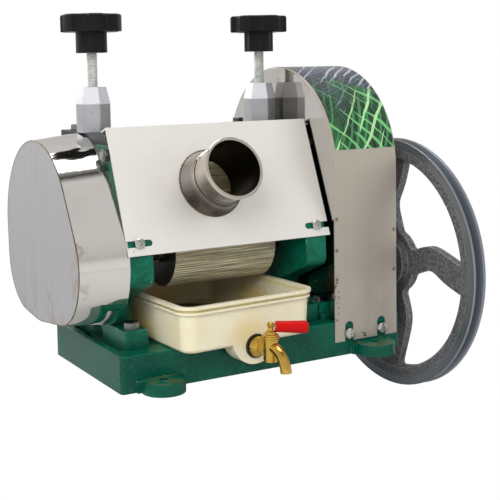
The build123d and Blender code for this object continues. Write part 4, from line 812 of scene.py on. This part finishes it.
# %% Wood of the crank grip
wood, t, sh = material("varnished wood")
edge = use(t, soft_edge, Width=0.0008)
grain = use(t, brushed, Stretch=(12, 320, 320))
col = mix(t, ramp(t, grain["Tone"], 0.35, 0.65), rgb(150, 98, 52), rgb(96, 56, 28))
fill(t, sh, Base_Color=col, Roughness=0.3, Coat_Weight=0.5,
     Normal=bump(t, grain["Fine"], edge["Normal"], 0.15, 0.0003))
paint(["crank_grip"], wood)

# %% [markdown]
# ## Printed film on the drive cover
#
# A film printed with crossing cane leaves covers the arch: dark violet at the crown, deep green lower
# down. The pattern has to bend with the sheet, so it is laid out on the unrolled arch. Its first
# coordinate is the width, and its second is the arc length: the angle round the arch's axis
# times the radius.

# %% Unroll the arch
film, t, sh = material("printed film")
obj = where(t)
arch_y = (cover_low[1] + cover_high[1]) / 2
arch_r = (cover_high[1] - cover_low[1]) / 2
arch_z = cover_high[2] - arch_r
angle = calc(t, "ARCTAN2", calc(t, "SUBTRACT", coord(t, obj, "Z"), arch_z),
             calc(t, "SUBTRACT", arch_y, coord(t, obj, "Y")))
width_way = calc(t, "SUBTRACT", coord(t, obj, "X"), cover_low[0])
flat = put(t, "CombineXYZ", {0: width_way, 1: times(t, angle, arch_r)}).outputs[0]
print("arch radius", round(arch_r, 4), "m")

# %% [markdown]
# A leaf layer is a set of parallel bands, bent by noise, where only the crest of each band is kept.
# A second noise breaks the bands into lengths and tapers their ends, which makes them leaves.

# %% One layer of leaves
def leaves(turn, spacing, broad, length, swing, seed):
    """Crests of sin(2 pi s / spacing), where s is the distance across the bands plus swing times a
    noise. turn is the bands' slope, length a leaf's length in metres, and broad how wide it gets."""
    moved = put(t, "Mapping", {"Vector": flat, "Location": (seed, seed * 0.7, 0),
                               "Rotation": (0, 0, turn)}).outputs[0]
    bent = plus(t, coord(t, moved, "X"), times(t, noise(t, moved, 22.0), swing))
    wave = calc(t, "SINE", times(t, bent, 2 * math.pi / spacing))
    lengths = noise(t, vmath(t, "MULTIPLY", moved, (1.0 / spacing, 1.0 / length, 1.0)), 0.8, 1.0)
    cut = calc(t, "SUBTRACT", 1.0, times(t, ramp(t, lengths, 0.44, 0.66), broad))
    return ramp(t, calc(t, "SUBTRACT", wave, cut), -0.01, 0.06)


print("leaf recipe ready")

# %% [markdown]
# Six layers of different slope, size and shade cross each other. The first two belong to the violet
# crown and the others to the green side, so each has a mask that keeps it in its place. The
# border between the two sides sways, because a straight one would look ruled.

# %% Ground and leaves
sway = use(t, mottle, Scale=16.0, Low=0.2, High=0.8)
round_way = calc(t, "DIVIDE", angle, math.pi / 2)
green_side = ramp(t, plus(t, round_way, times(t, sway["Mask"], 0.5)), 0.95, 0.55)
ground = use(t, mottle, Scale=30.0, Low=0.35, High=0.7)
violet = mix(t, ground["Mask"], rgb(14, 12, 18), rgb(40, 38, 56))
green = mix(t, ground["Mask"], rgb(8, 32, 14), rgb(24, 84, 36))
col = mix(t, green_side, violet, green)
for turn, spacing, broad, length, swing, seed, shade, keep in (
        (1.10, 0.0060, 0.60, 0.060, 0.010, 0.13, rgb(84, 82, 116), calc(t, "SUBTRACT", 1.0, green_side)),
        (0.80, 0.0110, 0.40, 0.070, 0.012, 0.71, rgb(176, 174, 198), calc(t, "SUBTRACT", 0.8, green_side)),
        (-0.45, 0.0070, 0.90, 0.060, 0.012, 0.37, rgb(20, 78, 40), plus(t, green_side, 0.2)),
        (0.35, 0.0100, 0.75, 0.075, 0.014, 0.92, rgb(40, 116, 62), plus(t, green_side, 0.2)),
        (-0.80, 0.0130, 0.50, 0.080, 0.012, 0.55, rgb(96, 164, 98), plus(t, green_side, 0.05)),
        (0.62, 0.0170, 0.30, 0.090, 0.012, 0.28, rgb(158, 204, 144), times(t, green_side, 0.9))):
    mask = put(t, "Clamp", {0: times(t, leaves(turn, spacing, broad, length, swing, seed), keep)})
    col = mix(t, mask.outputs[0], col, shade)
fill(t, sh, Base_Color=col, Roughness=ramp(t, ground["Raw"], 0.2, 0.8, 0.20, 0.30), Coat_Weight=0.3)
paint(["cover_label"], film)

# %% [markdown]
# ## Stage, light and camera
#
# The floor is white to the camera, so the machine stands on plain white. To the lights and the
# reflections it is a mid grey, so that it doesn't throw too much light up at the machine. The Light
# Path node tells the two apart.

# %% Floor
ground_z = cad_low[2] - 0.0005
bpy.ops.mesh.primitive_plane_add(size=3.2, location=(0, 0, ground_z))
floor = bpy.context.object
floor.name = "floor"
m = bpy.data.materials.new("floor white")
m.use_nodes = True
t = m.node_tree
t.nodes.clear()
seen = put(t, "LightPath").outputs["Is Camera Ray"]
pale = put(t, "BsdfDiffuse", {"Color": (0.50, 0.50, 0.50, 1)})
white = put(t, "Emission", {"Color": (1, 1, 1, 1), "Strength": 1.0})
blend = put(t, "MixShader", {0: seen, 1: pale.outputs[0], 2: white.outputs[0]})
put(t, "OutputMaterial", {"Surface": blend.outputs[0]})
floor.data.materials.append(m)
floor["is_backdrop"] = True
print("floor at z", round(ground_z, 4))

# %% [markdown]
# The surroundings are also white to the camera. To everything else the room is dim below the
# horizon, brightest just at it, paler above, and dark straight overhead. Polished steel shows
# nothing but its surroundings, so these bands are what makes it look like steel. The place in the
# colour ramp is the height of the direction: 0 is straight down, 0.5 the horizon, 1 straight up.

# %% Surroundings
ROOM = ((0.40, 0.70), (0.45, 1.25), (0.54, 1.20), (0.62, 0.85), (0.72, 0.95), (0.945, 1.05), (0.965, 0.06),
        (1.0, 0.04))
world = bpy.data.worlds.new("studio")
bpy.context.scene.world = world
world.use_nodes = True
t = world.node_tree
t.nodes.clear()
seen = put(t, "LightPath").outputs["Is Camera Ray"]
way = put(t, "SeparateXYZ", {0: put(t, "TexCoord").outputs["Generated"]}).outputs
room = put(t, "ValToRGB", {0: plus(t, times(t, way["Z"], 0.5), 0.5)})
stops = room.color_ramp.elements
for place, shade in ROOM:
    stops.new(place).color = (shade, shade, shade * 1.01, 1)
stops[0].color = (0.10, 0.095, 0.09, 1)
stops.remove(stops[-1])
brighter_left = ramp(t, way["X"], 0.5, -0.6, 0.92, 1.12)
graded = put(t, "Background", {"Color": mix(t, 1.0, room.outputs[0], brighter_left, "MULTIPLY"),
                               "Strength": 0.68})
white = put(t, "Background", {"Color": (1, 1, 1, 1), "Strength": 1.0})
blend = put(t, "MixShader", {0: seen, 1: graded.outputs[0], 2: white.outputs[0]})
put(t, "OutputWorld", {"Surface": blend.outputs[0]})
print("bands in the room:", len(stops))

# %% [markdown]
# A large soft source on the left and a softer one on the right give the even light of a product
# photograph, and two more lift the top and the back. The two in front don't show in reflections,
# because their squares would stand on the flat sheets.

# %% Lights
def area(name, place, target, width, height, power):
    """A rectangular soft light at place, facing target."""
    data = bpy.data.lights.new(name, "AREA")
    data.shape = "RECTANGLE"
    data.size, data.size_y, data.energy = width, height, power
    lamp = bpy.data.objects.new(name, data)
    bpy.context.scene.collection.objects.link(lamp)
    gap = np.array(target, float) - np.array(place, float)
    back = -gap / np.linalg.norm(gap)
    right = np.cross((0, 0, 1), back)
    right /= np.linalg.norm(right)
    up = np.cross(back, right)
    turn = Matrix([[right[i], up[i], back[i]] for i in range(3)])
    lamp.matrix_world = Matrix.Translation(place) @ turn.to_4x4()
    return lamp


middle = (0.0, 0.0, 0.18)
key = area("key", (-1.6, -1.5, 1.5), middle, 1.4, 1.4, 52.0)
side_fill = area("fill", (1.9, -1.7, 0.9), middle, 1.2, 1.6, 14.0)
key.visible_glossy = side_fill.visible_glossy = False
area("top", (0.1, 0.3, 2.2), middle, 1.6, 1.2, 20.0)
area("back", (-0.6, 2.0, 1.2), middle, 1.6, 1.2, 12.0)
print("lights:", len(bpy.data.lights))

# %% [markdown]
# The photograph was taken with a fairly long lens from the front left, a little above the machine.
# The place, the angles and the focal length were worked out from the machine's straight edges.
# The lens looks at a point left of and above the photograph's middle, and the shift allows for that.

# %% Camera
YAW, PITCH, ROLL = (math.radians(a) for a in (29.53, 5.075, 0.975))
CAMERA_AT = (-0.6372, -1.1268, 0.3532)
PHOTO_PX, FOCAL_PX, AXIS_PX = 500, 1049.469, (226.414, 160.718)
SENSOR_MM = 36.0
ahead = np.array((math.sin(YAW) * math.cos(PITCH), math.cos(YAW) * math.cos(PITCH), -math.sin(PITCH)))
level = np.array((math.cos(YAW), -math.sin(YAW), 0.0))
down = np.cross(ahead, level)
right = math.cos(ROLL) * level + math.sin(ROLL) * down
below = -math.sin(ROLL) * level + math.cos(ROLL) * down
data = bpy.data.cameras.new("camera")
data.sensor_width = SENSOR_MM
data.lens = SENSOR_MM * FOCAL_PX / PHOTO_PX
data.shift_x = (PHOTO_PX / 2 - AXIS_PX[0]) / PHOTO_PX
data.shift_y = -(PHOTO_PX / 2 - AXIS_PX[1]) / PHOTO_PX
data.clip_end = 50
camera = bpy.data.objects.new("camera", data)
bpy.context.scene.collection.objects.link(camera)
turn = Matrix([[right[i], -below[i], -ahead[i]] for i in range(3)])
camera.matrix_world = Matrix.Translation(CAMERA_AT) @ turn.to_4x4()
bpy.context.scene.camera = camera
bpy.context.scene.view_settings.view_transform = "Standard"
print("lens", round(data.lens, 1), "mm")

# %% [markdown]
# ## Sizes
#
# The dressed machine has to stay as large as the solids. Its bounding box is measured here.

# %% Sizes, then the end
low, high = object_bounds()
